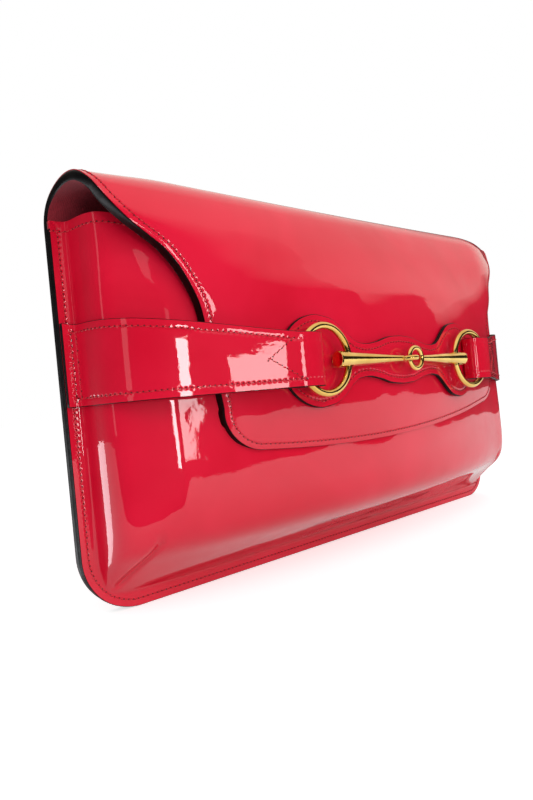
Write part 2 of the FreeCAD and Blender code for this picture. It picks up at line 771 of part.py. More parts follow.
def build_backing():
    """The stitched leather behind the bit: three lobes joined by two necks, bowed like the flap."""
    layers = [
        ("bit_backing_lining", BAND_BACK, S["front_lining"]),
        ("bit_backing", BAND_BACK + S["front_lining"], S["hide"]),
    ]
    for label, start, thickness in layers:
        body = new_body(label)
        rear = start - face_fall(S["lobe_out"] + S["lobe_round"]) - OVERCUT
        front = start + thickness + OVERCUT
        neck = new_sketch(body, "necks", "XZ_Plane", rear)
        out, half = S["lobe_out"], S["neck_half"]
        draw_polygon(
            neck,
            [
                (-out, band_height(-out) - half),
                (out, band_height(out) - half),
                (out, band_height(out) + half),
                (-out, band_height(-out) + half),
            ],
        )
        pad(body, neck, front - rear)
        lobes = [
            ("left", -out, S["lobe_round"]),
            ("mid", ZERO, S["mid_lobe_round"]),
            ("right", out, S["lobe_round"]),
        ]
        for place, x, radius in lobes:
            lobe = new_sketch(body, f"{place}_lobe", "XZ_Plane", rear)
            middle = flat_vector(x, band_height(x))
            circle = lobe.addGeometry(
                Part.Circle(middle, FreeCAD.Vector(0, 0, 1), float(radius))
            )
            pin_point(lobe, circle, 3, x, band_height(x))
            bind_radius(lobe, circle, radius)
            pad(body, lobe, front - rear)
        for name, depth, limit in (("before", start + thickness, HALF), ("behind", start, ZERO)):
            sketch = new_sketch(body, name, "XY_Plane")
            draw_bowed(
                sketch,
                [
                    (-HALF, -limit),
                    (-HALF, face_fall(HALF) - depth),
                    (HALF, face_fall(HALF) - depth),
                    (HALF, -limit),
                ],
                1,
                (ZERO, -depth),
            )
            cut_away(body, sketch, against_normal=True)


UPRIGHT = FreeCAD.Rotation(FreeCAD.Vector(1, 0, 0), 90)  # turns a ring's axis to face forward


def build_ring(name, side):
    """A round ring that joins a strap's loop to a bit bar."""
    centre = S["ring_out"] * side
    placed(
        "Part::Torus",
        f"ring_{name}",
        (centre, -RING_REACH, band_height(centre)),
        UPRIGHT,
        Radius1=S["ring_round"],
        Radius2=S["ring_wire"],
    )


def bit_axis(x):
    """The point of the bit's axis at x: deepest at the middle, falling back to the rings."""
    out = x if float(x) > 0 else -x
    share = out / RING_INNER
    return (x, (BAND_REACH - RING_REACH) * share - BAND_REACH, band_height(x))


def build_bit_bar(name, side, eye_round, eye_turn):
    """A tapering bar: a bore for its ring at the thick end, an eye at the thin one."""
    inner_wire = S["eye_wire"] + S["eye_slack"]
    eye_x = (eye_round - inner_wire) * side
    outer_end = bit_axis((RING_INNER + S["bit_overrun"]) * side)
    inner_end = bit_axis(eye_x + eye_round * side)
    along = FreeCAD.Vector(*(float(b) - float(a) for a, b in zip(outer_end, inner_end)))
    bar = placed(
        "Part::Cone",
        f"bar_{name}",
        outer_end,
        FreeCAD.Rotation(FreeCAD.Vector(0, 0, 1), along),
        Radius1=S["bit_butt"],
        Radius2=S["bit_neck"],
        Height=along.Length,
    )
    eye = placed(
        "Part::Torus",
        f"eye_{name}",
        (eye_x, -BAND_REACH, BAND_CENTRE),
        eye_turn,
        Radius1=eye_round,
        Radius2=S["eye_wire"],
    )
    bore_x, bore_y, bore_z = bit_axis(RING_INNER * side)
    bore = placed(
        "Part::Cylinder",
        f"bore_{name}",
        (bore_x, bore_y, bore_z - S["bit_butt"] * 2),
        Radius=S["bit_bore"],
        Height=S["bit_butt"] * 4,
    )
    joined = doc.addObject("Part::Fuse", f"joined_{name}")
    joined.Base = bar
    joined.Tool = eye
    bored = doc.addObject("Part::Cut", f"bit_{name}")
    bored.Base = joined
    bored.Tool = bore


def build_all():
    """Makes every sub-part and returns the labels of the nodes."""
    build_back()
    build_front()
    build_slip_pocket()
    build_fold()
    build_flap()
    for name, side in (("left", -1), ("right", 1)):
        build_strap(name, side)
        build_ring(name, side)
    build_backing()
    build_bit_bar("left", -1, S["left_eye_round"], FreeCAD.Rotation())
    build_bit_bar("right", 1, S["right_eye_round"], UPRIGHT)
    doc.recompute()
    node_kinds = ("PartDesign::Body", "Part::Torus", "Part::Cut")
    helpers = {o.Name for o in doc.Objects if o.TypeId == "Part::Torus" and o.InList}
    return [o for o in doc.Objects if o.TypeId in node_kinds and o.Name not in helpers]


def check(nodes):
    """Stops if any object failed or any node has no sound solid."""
    for item in doc.Objects:
        if "Invalid" in item.State or "Error" in item.State:
            raise RuntimeError(f"{item.Label} failed: {item.State}")
    for node in nodes:
        if node.Shape.isNull() or not node.Shape.isValid() or not node.Shape.Solids:
            raise RuntimeError(f"{node.Label} has no sound solid")


def main():
    nodes = build_all()
    check(nodes)
    os.makedirs("parts", exist_ok=True)
    for node in nodes:
        node.Shape.exportStep(f"parts/{node.Label}.step")
        box = node.Shape.BoundBox
        print(
            f"{node.Label:22s} solids {len(node.Shape.Solids)} volume {node.Shape.Volume:10.1f}"
            f"  x {box.XMin:7.1f} {box.XMax:7.1f}  y {box.YMin:7.1f} {box.YMax:7.1f}"
            f"  z {box.ZMin:7.1f} {box.ZMax:7.1f}"
        )


main()
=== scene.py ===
"""Clutch purse in patent leather: a wrapped back and flap, a bulged front, straps and a gold bit."""

import json
import logging
import math
from collections.abc import Callable, Iterable, Sequence
from dataclasses import dataclass
from enum import Enum

import bmesh
import bpy
import numpy as np
from mathutils import Euler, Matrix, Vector
from mathutils.geometry import delaunay_2d_cdt


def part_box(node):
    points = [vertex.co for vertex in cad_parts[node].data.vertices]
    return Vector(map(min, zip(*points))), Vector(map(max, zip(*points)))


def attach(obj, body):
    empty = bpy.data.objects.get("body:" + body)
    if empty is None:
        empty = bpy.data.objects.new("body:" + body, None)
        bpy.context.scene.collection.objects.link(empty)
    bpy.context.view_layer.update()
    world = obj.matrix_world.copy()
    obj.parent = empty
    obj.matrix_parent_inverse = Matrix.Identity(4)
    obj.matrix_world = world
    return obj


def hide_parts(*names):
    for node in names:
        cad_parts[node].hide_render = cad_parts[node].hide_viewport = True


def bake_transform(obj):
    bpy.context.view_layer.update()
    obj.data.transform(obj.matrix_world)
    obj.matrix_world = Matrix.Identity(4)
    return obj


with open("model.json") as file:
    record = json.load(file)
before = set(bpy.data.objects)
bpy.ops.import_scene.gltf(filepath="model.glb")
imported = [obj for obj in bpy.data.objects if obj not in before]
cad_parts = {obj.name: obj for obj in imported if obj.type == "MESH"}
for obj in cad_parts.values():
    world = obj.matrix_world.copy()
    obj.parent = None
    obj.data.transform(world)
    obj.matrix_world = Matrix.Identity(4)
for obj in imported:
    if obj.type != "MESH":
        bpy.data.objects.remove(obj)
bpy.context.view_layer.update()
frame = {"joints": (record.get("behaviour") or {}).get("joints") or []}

log = logging.getLogger("clutch")

MM = 0.001  # the shapes below are worked out in millimetres

# Short names for the kinds of value that the functions below take and give.
Array = np.ndarray
Piece = bpy.types.Object
Material = bpy.types.Material
Socket = bpy.types.NodeSocket
Lift = Callable[[Array, Array], Array]
Pair = tuple[float, float]
Point = tuple[float, float, float]
Colour = Point


class Side(Enum):
    """The purse's two ends."""

    LEFT = -1
    RIGHT = 1

    @property
    def word(self) -> str:
        """The side's name in piece names."""
        return self.name.lower()


class Ply(Enum):
    """The three plies of the back, the fold and the flap, from outside to inside."""

    HIDE = "hide"
    CORE = "core"
    LINING = "lining"


# ---------------- curves and surfaces


def ease(value: Array | float, start: float, end: float) -> Array:
    """A smooth step.

    Args:
        value: Where it is read.
        start: Where it leaves 0.
        end: Where it reaches 1.

    Returns:
        The step's height, from 0 to 1.
    """
    share = np.clip((np.asarray(value, float) - start) / (end - start), 0.0, 1.0)
    return share * share * (3.0 - 2.0 * share)


def bump_at(value: Array, centre: float, width: float) -> Array:
    """A bell-shaped ridge of height 1 at centre, about twice width wide."""
    return np.exp(-(((value - centre) / width) ** 2))


class Stations:
    """A smooth curve without overshoot through a few (where, value) stations."""

    def __init__(self, pairs: Sequence[Pair], start_slope: float | None = None) -> None:
        """Works out the slopes.

        Args:
            pairs: The stations, in order of rising place.
            start_slope: The slope at the first station, if it is given.
        """
        self.where = np.array([p[0] for p in pairs], float)
        self.value = np.array([p[1] for p in pairs], float)
        step = np.diff(self.where)
        rise = np.diff(self.value) / step
        slope = np.zeros(len(pairs))
        slope[0], slope[-1] = rise[0], rise[-1]
        for i in range(1, len(pairs) - 1):
            if rise[i - 1] * rise[i] > 0:
                before, after = 2 * step[i] + step[i - 1], step[i] + 2 * step[i - 1]
                slope[i] = (before + after) / (before / rise[i - 1] + after / rise[i])
        if start_slope is not None:
            slope[0] = start_slope
        self.slope = slope

    def __call__(self, place: Array | float) -> Array:
        """The curve's value at a place; it is level outside its stations."""
        place = np.clip(np.asarray(place, float), self.where[0], self.where[-1])
        i = np.clip(np.searchsorted(self.where, place) - 1, 0, len(self.where) - 2)
        step = self.where[i + 1] - self.where[i]
        t = (place - self.where[i]) / step
        return (
            self.value[i] * (1 + 2 * t) * (1 - t) ** 2
            + self.value[i + 1] * t * t * (3 - 2 * t)
            + step * (self.slope[i] * t * (1 - t) ** 2 - self.slope[i + 1] * t * t * (1 - t))
        )


def spline_weights(count: int, place: Array) -> Array:
    """Weights of a cubic spline that starts and ends on its outer control points.

    Args:
        count: How many control points there are.
        place: Places along the spline, from 0 to 1.

    Returns:
        One row for each place, one column for each control point.
    """
    order = 4
    knots = np.concatenate([np.zeros(order - 1), np.linspace(0, 1, count - order + 2), np.ones(order - 1)])
    place = np.clip(place, 0.0, 1.0 - 1e-9)
    basis = ((knots[:-1] <= place[:, None]) & (place[:, None] < knots[1:])).astype(float)
    for degree in range(1, order):
        raised = np.zeros((len(place), len(knots) - 1 - degree))
        for j in range(raised.shape[1]):
            low, high = knots[j + degree] - knots[j], knots[j + degree + 1] - knots[j + 1]
            if low > 0:
                raised[:, j] += (place - knots[j]) / low * basis[:, j]
            if high > 0:
                raised[:, j] += (knots[j + degree + 1] - place) / high * basis[:, j + 1]
        basis = raised
    return basis


def spline_line(controls: Sequence[tuple[float, ...]], count: int) -> Array:
    """Evenly spaced points along a cubic spline.

    Args:
        controls: The control points.
        count: How many points come back.

    Returns:
        The points, one in each row.
    """
    controls = np.array(controls, float)
    return evenly(spline_weights(len(controls), np.linspace(0, 1, count * 8)) @ controls, count)


def run_length(line: Array) -> Array:
    """Length along a line of points up to each of them."""
    return np.concatenate([[0.0], np.cumsum(np.linalg.norm(np.diff(line, axis=0), axis=1))])


def arc(centre: Pair, radius: float, start: float, end: float, steps: int) -> list:
    """Points on an arc.

    Args:
        centre: Its centre.
        radius: Its radius.
        start: Its first angle in degrees.
        end: Its last angle in degrees.
        steps: How many points it has.

    Returns:
        The points.
    """
    return [
        (centre[0] + radius * math.cos(math.radians(a)), centre[1] + radius * math.sin(math.radians(a)))
        for a in np.linspace(start, end, steps)
    ]


def evenly(line: Array, count: int) -> Array:
    """The same line with count points at even distances; its two ends stay."""
    length = run_length(line)
    even = np.linspace(0, length[-1], count)
    return np.stack([np.interp(even, length, column) for column in line.T], axis=1)


def resample(line: Array, spacing: float) -> Array:
    """The same line with points about spacing apart; its two ends stay."""
    return evenly(line, max(2, int(round(run_length(line)[-1] / spacing)) + 1))


def loop_round(outline: Array, spacing: float) -> Array:
    """A closed outline as a line that ends where it starts, with points about spacing apart."""
    return resample(np.vstack([outline, outline[:1]]), spacing)


def inset(outline: Array, distance: float) -> Array:
    """A closed outline, anticlockwise, moved inwards by a distance."""
    along = np.roll(outline, -1, axis=0) - np.roll(outline, 1, axis=0)
    along /= np.linalg.norm(along, axis=1)[:, None]
    return outline + distance * np.stack([-along[:, 1], along[:, 0]], axis=1)


def distance_to(points: Array, line: Array) -> tuple[Array, Array]:
    """How far flat points are from a dense line.

    Args:
        points: The points.
        line: Points of the line, close together.

    Returns:
        Each point's distance, and the length along the line to its nearest place.
    """
    along = run_length(line)
    near, where = np.empty(len(points)), np.empty(len(points))
    share = 2000
    for start in range(0, len(points), share):
        part = slice(start, start + share)
        gap = np.linalg.norm(points[part, None, :] - line[None, :, :], axis=2)
        i = gap.argmin(axis=1)
        near[part], where[part] = gap.min(axis=1), along[i]
    return near, where


@dataclass
class Patch:
    """A flat pattern piece: its points, its faces and its rim, anticlockwise."""

    flat: Array
    faces: list[tuple[int, ...]]
    rim: list[int]
    seam: Array

    @classmethod
    def grid(cls, across: Array, up: Array) -> "Patch":
        """A pattern piece with rows and columns.

        Args:
            across: The columns' places.
            up: The rows' places.

        Returns:
            The pattern piece, with no seam on its rim.
        """
        wide, high = len(across), len(up)
        flat = np.stack([np.tile(across, high), np.repeat(up, wide)], axis=1)
        faces = [
            (j * wide + i, j * wide + i + 1, (j + 1) * wide + i + 1, (j + 1) * wide + i)
            for j in range(high - 1)
            for i in range(wide - 1)
        ]
        rim = (
            list(range(wide))
            + [j * wide + wide - 1 for j in range(1, high)]
            + [(high - 1) * wide + i for i in range(wide - 2, -1, -1)]
            + [j * wide for j in range(high - 2, 0, -1)]
        )
        return cls(flat, faces, rim, np.zeros(len(rim), bool))

    @classmethod
    def cut(
        cls, outline: Array, spacing: float, rings: Sequence[float] = (), seam: Array | None = None
    ) -> "Patch":
        """A pattern piece cut along an outline.

        Args:
            outline: The outline's points, anticlockwise.
            spacing: Distance between the points inside.
            rings: Distances inside the edge at which it has extra points.
            seam: Which of the outline's points lie on a joined end, where there is no edge to finish.

        Returns:
            The pattern piece.
        """
        dense = loop_round(outline, 0.4)
        points = [outline]
        last = max([spacing * 0.6, *rings])
        for ring in rings:
            moved = inset(outline, ring)
            near, _ = distance_to(moved, dense)
            points.append(moved[near > ring * 0.93])  # without those that come near another side
        low, high = outline.min(axis=0), outline.max(axis=0)
        row = np.arange(low[1], high[1], spacing * 0.87)  # as high as an even triangle
        inner = np.array(
            [
                (x + (spacing / 2 if k % 2 else 0.0), y)
                for k, y in enumerate(row)
                for x in np.arange(low[0], high[0], spacing)
            ]
        )
        inner = inner[inside(inner, outline)]
        near, _ = distance_to(inner, dense)
        points.append(inner[near > last + spacing * 0.35])
        loop = list(range(len(outline)))
        edges = list(zip(loop, loop[1:] + loop[:1]))
        made = delaunay_2d_cdt([Vector(p) for p in np.vstack(points)], edges, [loop], 1, 1e-5)
        placed = np.array([tuple(v) for v in made[0]], float)
        new_of = {old: new for new, olds in enumerate(made[3]) for old in olds}
        turned = []
        for face in made[2]:
            a, b, c = (placed[i] for i in face[:3])
            area = (b[0] - a[0]) * (c[1] - a[1]) - (b[1] - a[1]) * (c[0] - a[0])
            turned.append(tuple(face if area > 0 else face[::-1]))
        joined = np.zeros(len(outline), bool) if seam is None else seam
        return cls(placed, turned, [new_of[i] for i in loop], joined)


def inside(points: Array, outline: Array) -> Array:
    """Which flat points lie inside a closed outline."""
    x, y = points[:, 0], points[:, 1]
    found = np.zeros(len(points), bool)
    before = np.roll(outline, 1, axis=0)
    for (ax, ay), (bx, by) in zip(before, outline):
        crosses = (ay > y) != (by > y)
        with np.errstate(divide="ignore", invalid="ignore"):
            at = ax + (y - ay) * (bx - ax) / (by - ay)
        found ^= crosses & (x < at)
    return found


@dataclass(frozen=True)
class Bead:
    """How an edge is finished between a ply's two faces.

    Attributes:
        points: (outward, depth share) pairs from the upper face to the lower one.
        finish: Which of the piece's finishes each strip between two points takes.
    """

    points: tuple[Pair, ...]
    finish: tuple[int, ...]

    @classmethod
    def round(cls, proud: float, finish: int = 0) -> "Bead":
        """A half-round edge.

        Args:
            proud: How far it stands out, in millimetres.
            finish: The finish's number.

        Returns:
            The bead.
        """
        steps = 5
        turn = np.linspace(0, math.pi, steps + 1)
        points = tuple((float(proud * math.sin(a)), float((1 - math.cos(a)) / 2)) for a in turn)
        return cls(points, (finish,) * steps)


def normal_of(lift: Lift, flat: Array, step: float = 0.05) -> Array:
    """Outward directions of a lifted surface at flat places."""
    x, y = flat[:, 0], flat[:, 1]
    across = lift(x + step, y) - lift(x - step, y)
    up = lift(x, y + step) - lift(x, y - step)
    normal = np.cross(across, up)
    return normal / np.maximum(np.linalg.norm(normal, axis=1)[:, None], 1e-12)


class Former:
    """Forms flat pattern pieces into plies with thickness and finished edges."""

    def __init__(self, lift: Lift, outward: float = 1.0, step: float = 0.05) -> None:
        """Keeps the surface.

        Args:
            lift: Gives the outer surface's place for flat places, in millimetres.
            outward: 1 if across times up points outwards, else -1.
            step: Distance over which directions are read.
        """
        self.lift = lift
        self.outward = outward
        self.step = step

    def ply(
        self,
        name: str,
        patch: Patch,
        top: float,
        bottom: float,
        bead: Bead,
        finishes: Sequence[Material],
        edge_line: Array | None = None,
        setback: float = 0.0,
        rim_finish: Array | None = None,
        edge_at: Array | None = None,
        lean: Array | None = None,
    ) -> Piece:
        """Makes one ply.

        Args:
            name: The piece's name.
            patch: Its flat pattern.
            top: How far its upper face lies under the surface.
            bottom: How far its lower face lies under the surface.
            bead: Its edge.
            finishes: Its materials.
            edge_line: The finished edge in the flat pattern, for the stitch groove.
            setback: How far its edge is trimmed back.
            rim_finish: Which finish each stretch of the rim takes, where it isn't the bead's.
            edge_at: Where each point lies beside the edge line, if that isn't its flat place.
            lean: How much further out each rim point's bead stands for a millimetre of depth.

        Returns:
            The ply's object.
        """
        place = self.lift(*patch.flat.T)
        normal = normal_of(self.lift, patch.flat, self.step) * self.outward
        rim = np.array(patch.rim)
        count, ring_size = len(place), len(rim)
        out = self._outward(place[rim], normal[rim], patch.seam)
        if setback:
            place = place.copy()
            place[rim] -= out * setback
        upper = place - normal * top
        lower = place - normal * bottom
        rings = []
        for proud, share in bead.points[1:-1]:
            depth = top + (bottom - top) * share
            reach = proud + (0.0 if lean is None else lean[:, None] * depth)
            rings.append(place[rim] - normal[rim] * depth + out * reach)
        loops: list[tuple[int, ...]] = []
        normals: list[Array] = []
        finish: list[int] = []
        forward = self.outward > 0
        for face in patch.faces:
            turned = face if forward else face[::-1]
            below = turned[::-1]
            loops += [turned, tuple(count + i for i in below)]
            normals += [*normal[list(turned)], *-normal[list(below)]]
            finish += [0, 0]
        first_ring = 2 * count + np.arange(ring_size)
        stack = [rim, *(first_ring + k * ring_size for k in range(len(rings))), rim + count]
        slopes = self._bead_normals(bead, bottom - top)
        for k in range(len(stack) - 1):
            for i in range(ring_size):
                j = (i + 1) % ring_size
                at = [(i, 0), (i, 1), (j, 1), (j, 0)]
                if not forward:
                    at = at[::-1]
                loops.append(tuple(int(stack[k + end][index]) for index, end in at))
                ended = patch.seam[i] or patch.seam[j]
                for index, end in at:
                    if ended:
                        vector = np.cross(place[rim[j]] - place[rim[i]], normal[rim[i]]) * self.outward
                    else:
                        a, b = slopes[k][end]
                        vector = out[index] * a + normal[rim[index]] * b
                    normals.append(vector / max(np.linalg.norm(vector), 1e-9))
                painted = bead.finish[k] if rim_finish is None else min(rim_finish[i], rim_finish[j])
                finish.append(int(painted))
        piece = mesh_piece(name, np.vstack([upper, lower, *rings]) * MM, loops, finishes, finish, normals)
        self._mark_edges(piece, patch, edge_line, edge_at, len(rings))
        return piece

    def _outward(self, place: Array, normal: Array, seam: Array) -> Array:
        """Directions out of the rim, level with the surface; none along a seam."""
        after, before = np.roll(place, -1, axis=0), np.roll(place, 1, axis=0)
        next_seam, last_seam = np.roll(seam, -1), np.roll(seam, 1)
        along = after - before
        along[next_seam] = (place - before)[next_seam]
        along[last_seam] = (after - place)[last_seam]
        out = np.cross(along, normal) * self.outward
        out /= np.maximum(np.linalg.norm(out, axis=1)[:, None], 1e-9)
        out[seam] = 0.0
        return out

    @staticmethod
    def _bead_normals(bead: Bead, thickness: float) -> list[tuple[Pair, Pair]]:
        """(outward, upward) directions at both ends of each strip of a bead."""
        points = np.array([(p[0], -p[1] * thickness) for p in bead.points])
        along = np.diff(points, axis=0)
        faces = np.stack([-along[:, 1], along[:, 0]], axis=1)
        faces /= np.maximum(np.linalg.norm(faces, axis=1)[:, None], 1e-9)
        found = []
        for k in range(len(faces)):
            start, end = faces[k], faces[k]
            if k > 0 and faces[k - 1] @ faces[k] > 0.5:
                start = faces[k - 1] + faces[k]
            if k + 1 < len(faces) and faces[k + 1] @ faces[k] > 0.5:
                end = faces[k + 1] + faces[k]
            found.append((tuple(start / np.linalg.norm(start)), tuple(end / np.linalg.norm(end))))
        return found

    @staticmethod
    def _mark_edges(
        piece: Piece,
        patch: Patch,
        edge_line: Array | None,
        edge_at: Array | None,
        rings: int,
    ) -> None:
        """Keeps each point's flat place, and its distance from the edge and along it."""
        flat = np.vstack([patch.flat, patch.flat] + [patch.flat[patch.rim]] * rings)
        uv = piece.data.uv_layers.new(name="flat")
        index = np.zeros(len(piece.data.loops), np.int32)
        piece.data.loops.foreach_get("vertex_index", index)
        uv.data.foreach_set("uv", (flat[index] * MM).astype(np.float32).ravel())
        if edge_line is None:
            return
        if edge_at is not None:
            flat = np.vstack([edge_at, edge_at] + [edge_at[patch.rim]] * rings)
        near, along = distance_to(flat, edge_line)
        for name, values in (("edge_gap", near), ("edge_run", along)):
            kept = piece.data.attributes.new(name, "FLOAT", "POINT")
            kept.data.foreach_set("value", (values * MM).astype(np.float32))


def mesh_piece(
    name: str,
    points: Array,
    faces: Sequence[tuple[int, ...]],
    finishes: Sequence[Material],
    finish: Sequence[int] | None = None,
    normals: Sequence[Array] | None = None,
) -> Piece:
    """A smooth-shaded mesh object.

    Args:
        name: Its name.
        points: Its points in metres.
        faces: Its faces, each facing outwards.
        finishes: Its materials.
        finish: Which material each face takes.
        normals: The direction at each corner of each face, if they are given.

    Returns:
        The object, in the scene.
    """
    mesh = bpy.data.meshes.new(name)
    mesh.from_pydata([tuple(p) for p in points], [], [tuple(f) for f in faces])
    for material in finishes:
        mesh.materials.append(material)
    if finish is not None:
        mesh.polygons.foreach_set("material_index", np.array(finish, np.int32))
    mesh.polygons.foreach_set("use_smooth", np.ones(len(mesh.polygons), bool))
    mesh.update()
    if normals is not None:
        mesh.normals_split_custom_set([tuple(n) for n in normals])
    piece = bpy.data.objects.new(name, mesh)
    bpy.context.scene.collection.objects.link(piece)
    return piece


def join_tubes(name: str, parts: Iterable[tuple[Array, list]], finish: Material) -> Piece:
    """One smooth object out of several closed shells.

    Args:
        name: Its name.
        parts: Each shell's points in millimetres, and its faces.
        finish: Its material.

    Returns:
        The object, its faces outwards.
    """
    points, faces, count = [], [], 0
    for place, shape in parts:
        points.append(place)
        faces.extend(tuple(i + count for i in f) for f in shape)
        count += len(place)
    piece = mesh_piece(name, np.vstack(points) * MM, faces, [finish])
    shell = bmesh.new()
    shell.from_mesh(piece.data)
    bmesh.ops.remove_doubles(shell, verts=shell.verts, dist=1e-7)
    bmesh.ops.recalc_face_normals(shell, faces=shell.faces)
    shell.to_mesh(piece.data)
    shell.free()
    return piece


def swept_tube(line: Array, radii: Array, sides: int, closed: bool) -> tuple[Array, list]:
    """A round tube along a line.

    Args:
        line: The line's points.
        radii: The tube's radius at each of them.
        sides: How many sides it has.
        closed: Whether it runs round to its start.

    Returns:
        Its points and faces.
    """
    count = len(line)
    if closed:
        along = np.roll(line, -1, axis=0) - np.roll(line, 1, axis=0)
    else:
        along = np.gradient(line, axis=0)
    along /= np.linalg.norm(along, axis=1)[:, None]
    helper = np.array([0.0, 0.0, 1.0]) if abs(along[:, 2]).max() < 0.9 else np.array([0.0, 1.0, 0.0])
    if closed and abs(along[:, 1]).max() < 0.1:
        helper = np.array([0.0, 1.0, 0.0])
    first = np.cross(along, helper)
    first /= np.linalg.norm(first, axis=1)[:, None]
    second = np.cross(along, first)
    turn = np.linspace(0, 2 * math.pi, sides, endpoint=False)
    points = (
        line[:, None, :]
        + radii[:, None, None] * (np.cos(turn)[None, :, None] * first[:, None, :])
        + radii[:, None, None] * (np.sin(turn)[None, :, None] * second[:, None, :])
    ).reshape(-1, 3)
    faces = []
    for i in range(count if closed else count - 1):
        j = (i + 1) % count
        for k in range(sides):
            m = (k + 1) % sides
            faces.append((i * sides + k, i * sides + m, j * sides + m, j * sides + k))
    if not closed:
        faces.append(tuple(range(sides - 1, -1, -1)))
        faces.append(tuple((count - 1) * sides + k for k in range(sides)))
    return points, faces


# ---------------- finishes


class Nodes:
    """A node tree, built node by node."""

    def __init__(self, tree: bpy.types.NodeTree) -> None:
        """Empties the tree and keeps it."""
        self.tree = tree
        self.tree.nodes.clear()

    def fill(self, node: bpy.types.Node, inputs: dict[str | int, object]) -> None:
        """Gives a node's inputs values, or sockets to take them from."""
        for key, value in inputs.items():
            if isinstance(value, Socket):
                self.tree.links.new(value, node.inputs[key])
            else:
                node.inputs[key].default_value = value

    def node(
        self, kind: str, inputs: dict[str | int, object] | None = None, **settings: object
    ) -> bpy.types.Node:
        """Adds a node.

        Args:
            kind: Its type.
            inputs: What its inputs take, by name or number.
            settings: Its options.

        Returns:
            The node.
        """
        made = self.tree.nodes.new(kind)
        for key, value in settings.items():
            setattr(made, key, value)
        self.fill(made, inputs or {})
        return made

    def sum_of(self, operation: str, *terms: object) -> Socket:
        """One arithmetic step on sockets and numbers."""
        return self.node("ShaderNodeMath", dict(enumerate(terms)), operation=operation).outputs[0]


class Graph(Nodes):
    """A material's node tree."""

    def __init__(self, name: str) -> None:
        """Starts a material with a shader and an output."""
        self.material = bpy.data.materials.new(name)
        self.material.use_nodes = True
        super().__init__(self.material.node_tree)
        self.shader = self.node("ShaderNodeBsdfPrincipled")
        self.node("ShaderNodeOutputMaterial", {"Surface": self.shader.outputs["BSDF"]})

    def place(self) -> Socket:
        """The point's own place on the object."""
        return self.node("ShaderNodeTexCoord").outputs["Object"]

    def axis(self, name: str) -> Socket:
        """The point's own X, Y or Z."""
        return self.node("ShaderNodeSeparateXYZ", {"Vector": self.place()}).outputs[name]

    def mapped(self, source: Socket, scale: Point) -> Socket:
        """Coordinates stretched by a factor on each axis."""
        return self.node("ShaderNodeMapping", {"Vector": source, "Scale": scale}).outputs["Vector"]

    def noise(self, source: Socket, scale: float, detail: float = 2.0, warp: float = 0.0) -> Socket:
        """Cloudy values from 0 to 1.

        Args:
            source: Its coordinates.
            scale: Clouds in each metre.
            detail: How many finer layers it has.
            warp: How much it is distorted.

        Returns:
            The values.
        """
        inputs = {"Vector": source, "Scale": scale, "Detail": detail, "Distortion": warp}
        return self.node("ShaderNodeTexNoise", inputs).outputs["Fac"]

    def bands(self, source: Socket, direction: str, scale: float, warp: float) -> Socket:
        """Wavy bands with values from 0 to 1."""
        inputs = {"Vector": source, "Scale": scale, "Distortion": warp}
        made = self.node("ShaderNodeTexWave", inputs, wave_type="BANDS", bands_direction=direction)
        return made.outputs["Fac"]

    def attribute(self, name: str) -> Socket:
        """A value that the mesh carries."""
        return self.node("ShaderNodeAttribute", attribute_name=name).outputs["Fac"]

    def spread(
        self, value: Socket, low: float, high: float, to_low: float = 0.0, to_high: float = 1.0
    ) -> Socket:
        """A value mapped from one range to another and kept inside it."""
        inputs = {"Value": value, "From Min": low, "From Max": high, "To Min": to_low, "To Max": to_high}
        return self.node("ShaderNodeMapRange", inputs).outputs["Result"]

    def blend(self, share: Socket, first: Colour, second: Colour) -> Socket:
        """A colour between two colours."""
        inputs = {0: share, 6: (*first, 1.0), 7: (*second, 1.0)}
        return self.node("ShaderNodeMix", inputs, data_type="RGBA").outputs[2]

    def relief(
        self,
        height: Socket,
        depth: float,
        strength: float = 1.0,
        under: Socket | None = None,
    ) -> Socket:
        """Bumps a surface.

        Args:
            height: The relief, from 0 to 1.
            depth: Its depth in metres.
            strength: How much of it shows.
            under: A coarser relief that it lies on.

        Returns:
            The bumped direction.
        """
        inputs = {"Strength": strength, "Distance": depth, "Height": height}
        if under is not None:
            inputs["Normal"] = under
        return self.node("ShaderNodeBump", inputs).outputs["Normal"]

    def set(self, **inputs: object) -> None:
        """Gives the shader's inputs values or sockets; underscores stand for spaces."""
        self.fill(self.shader, {key.replace("_", " "): value for key, value in inputs.items()})


def tone(*screen: int) -> Colour:
    """A colour given in screen values, as light."""
    shares = (c / 255 for c in screen)
    return tuple(c / 12.92 if c <= 0.04045 else ((c + 0.055) / 1.055) ** 2.4 for c in shares)


class Finish:
    """A finish that can build its material."""

    def make(self, name: str) -> Material:
        """Builds the material."""
        g = Graph(name)
        self.lay(g, g.place())
        return g.material

    def lay(self, g: Graph, place: Socket) -> None:
        """Lays the material's nodes on the place of each point."""
        raise NotImplementedError


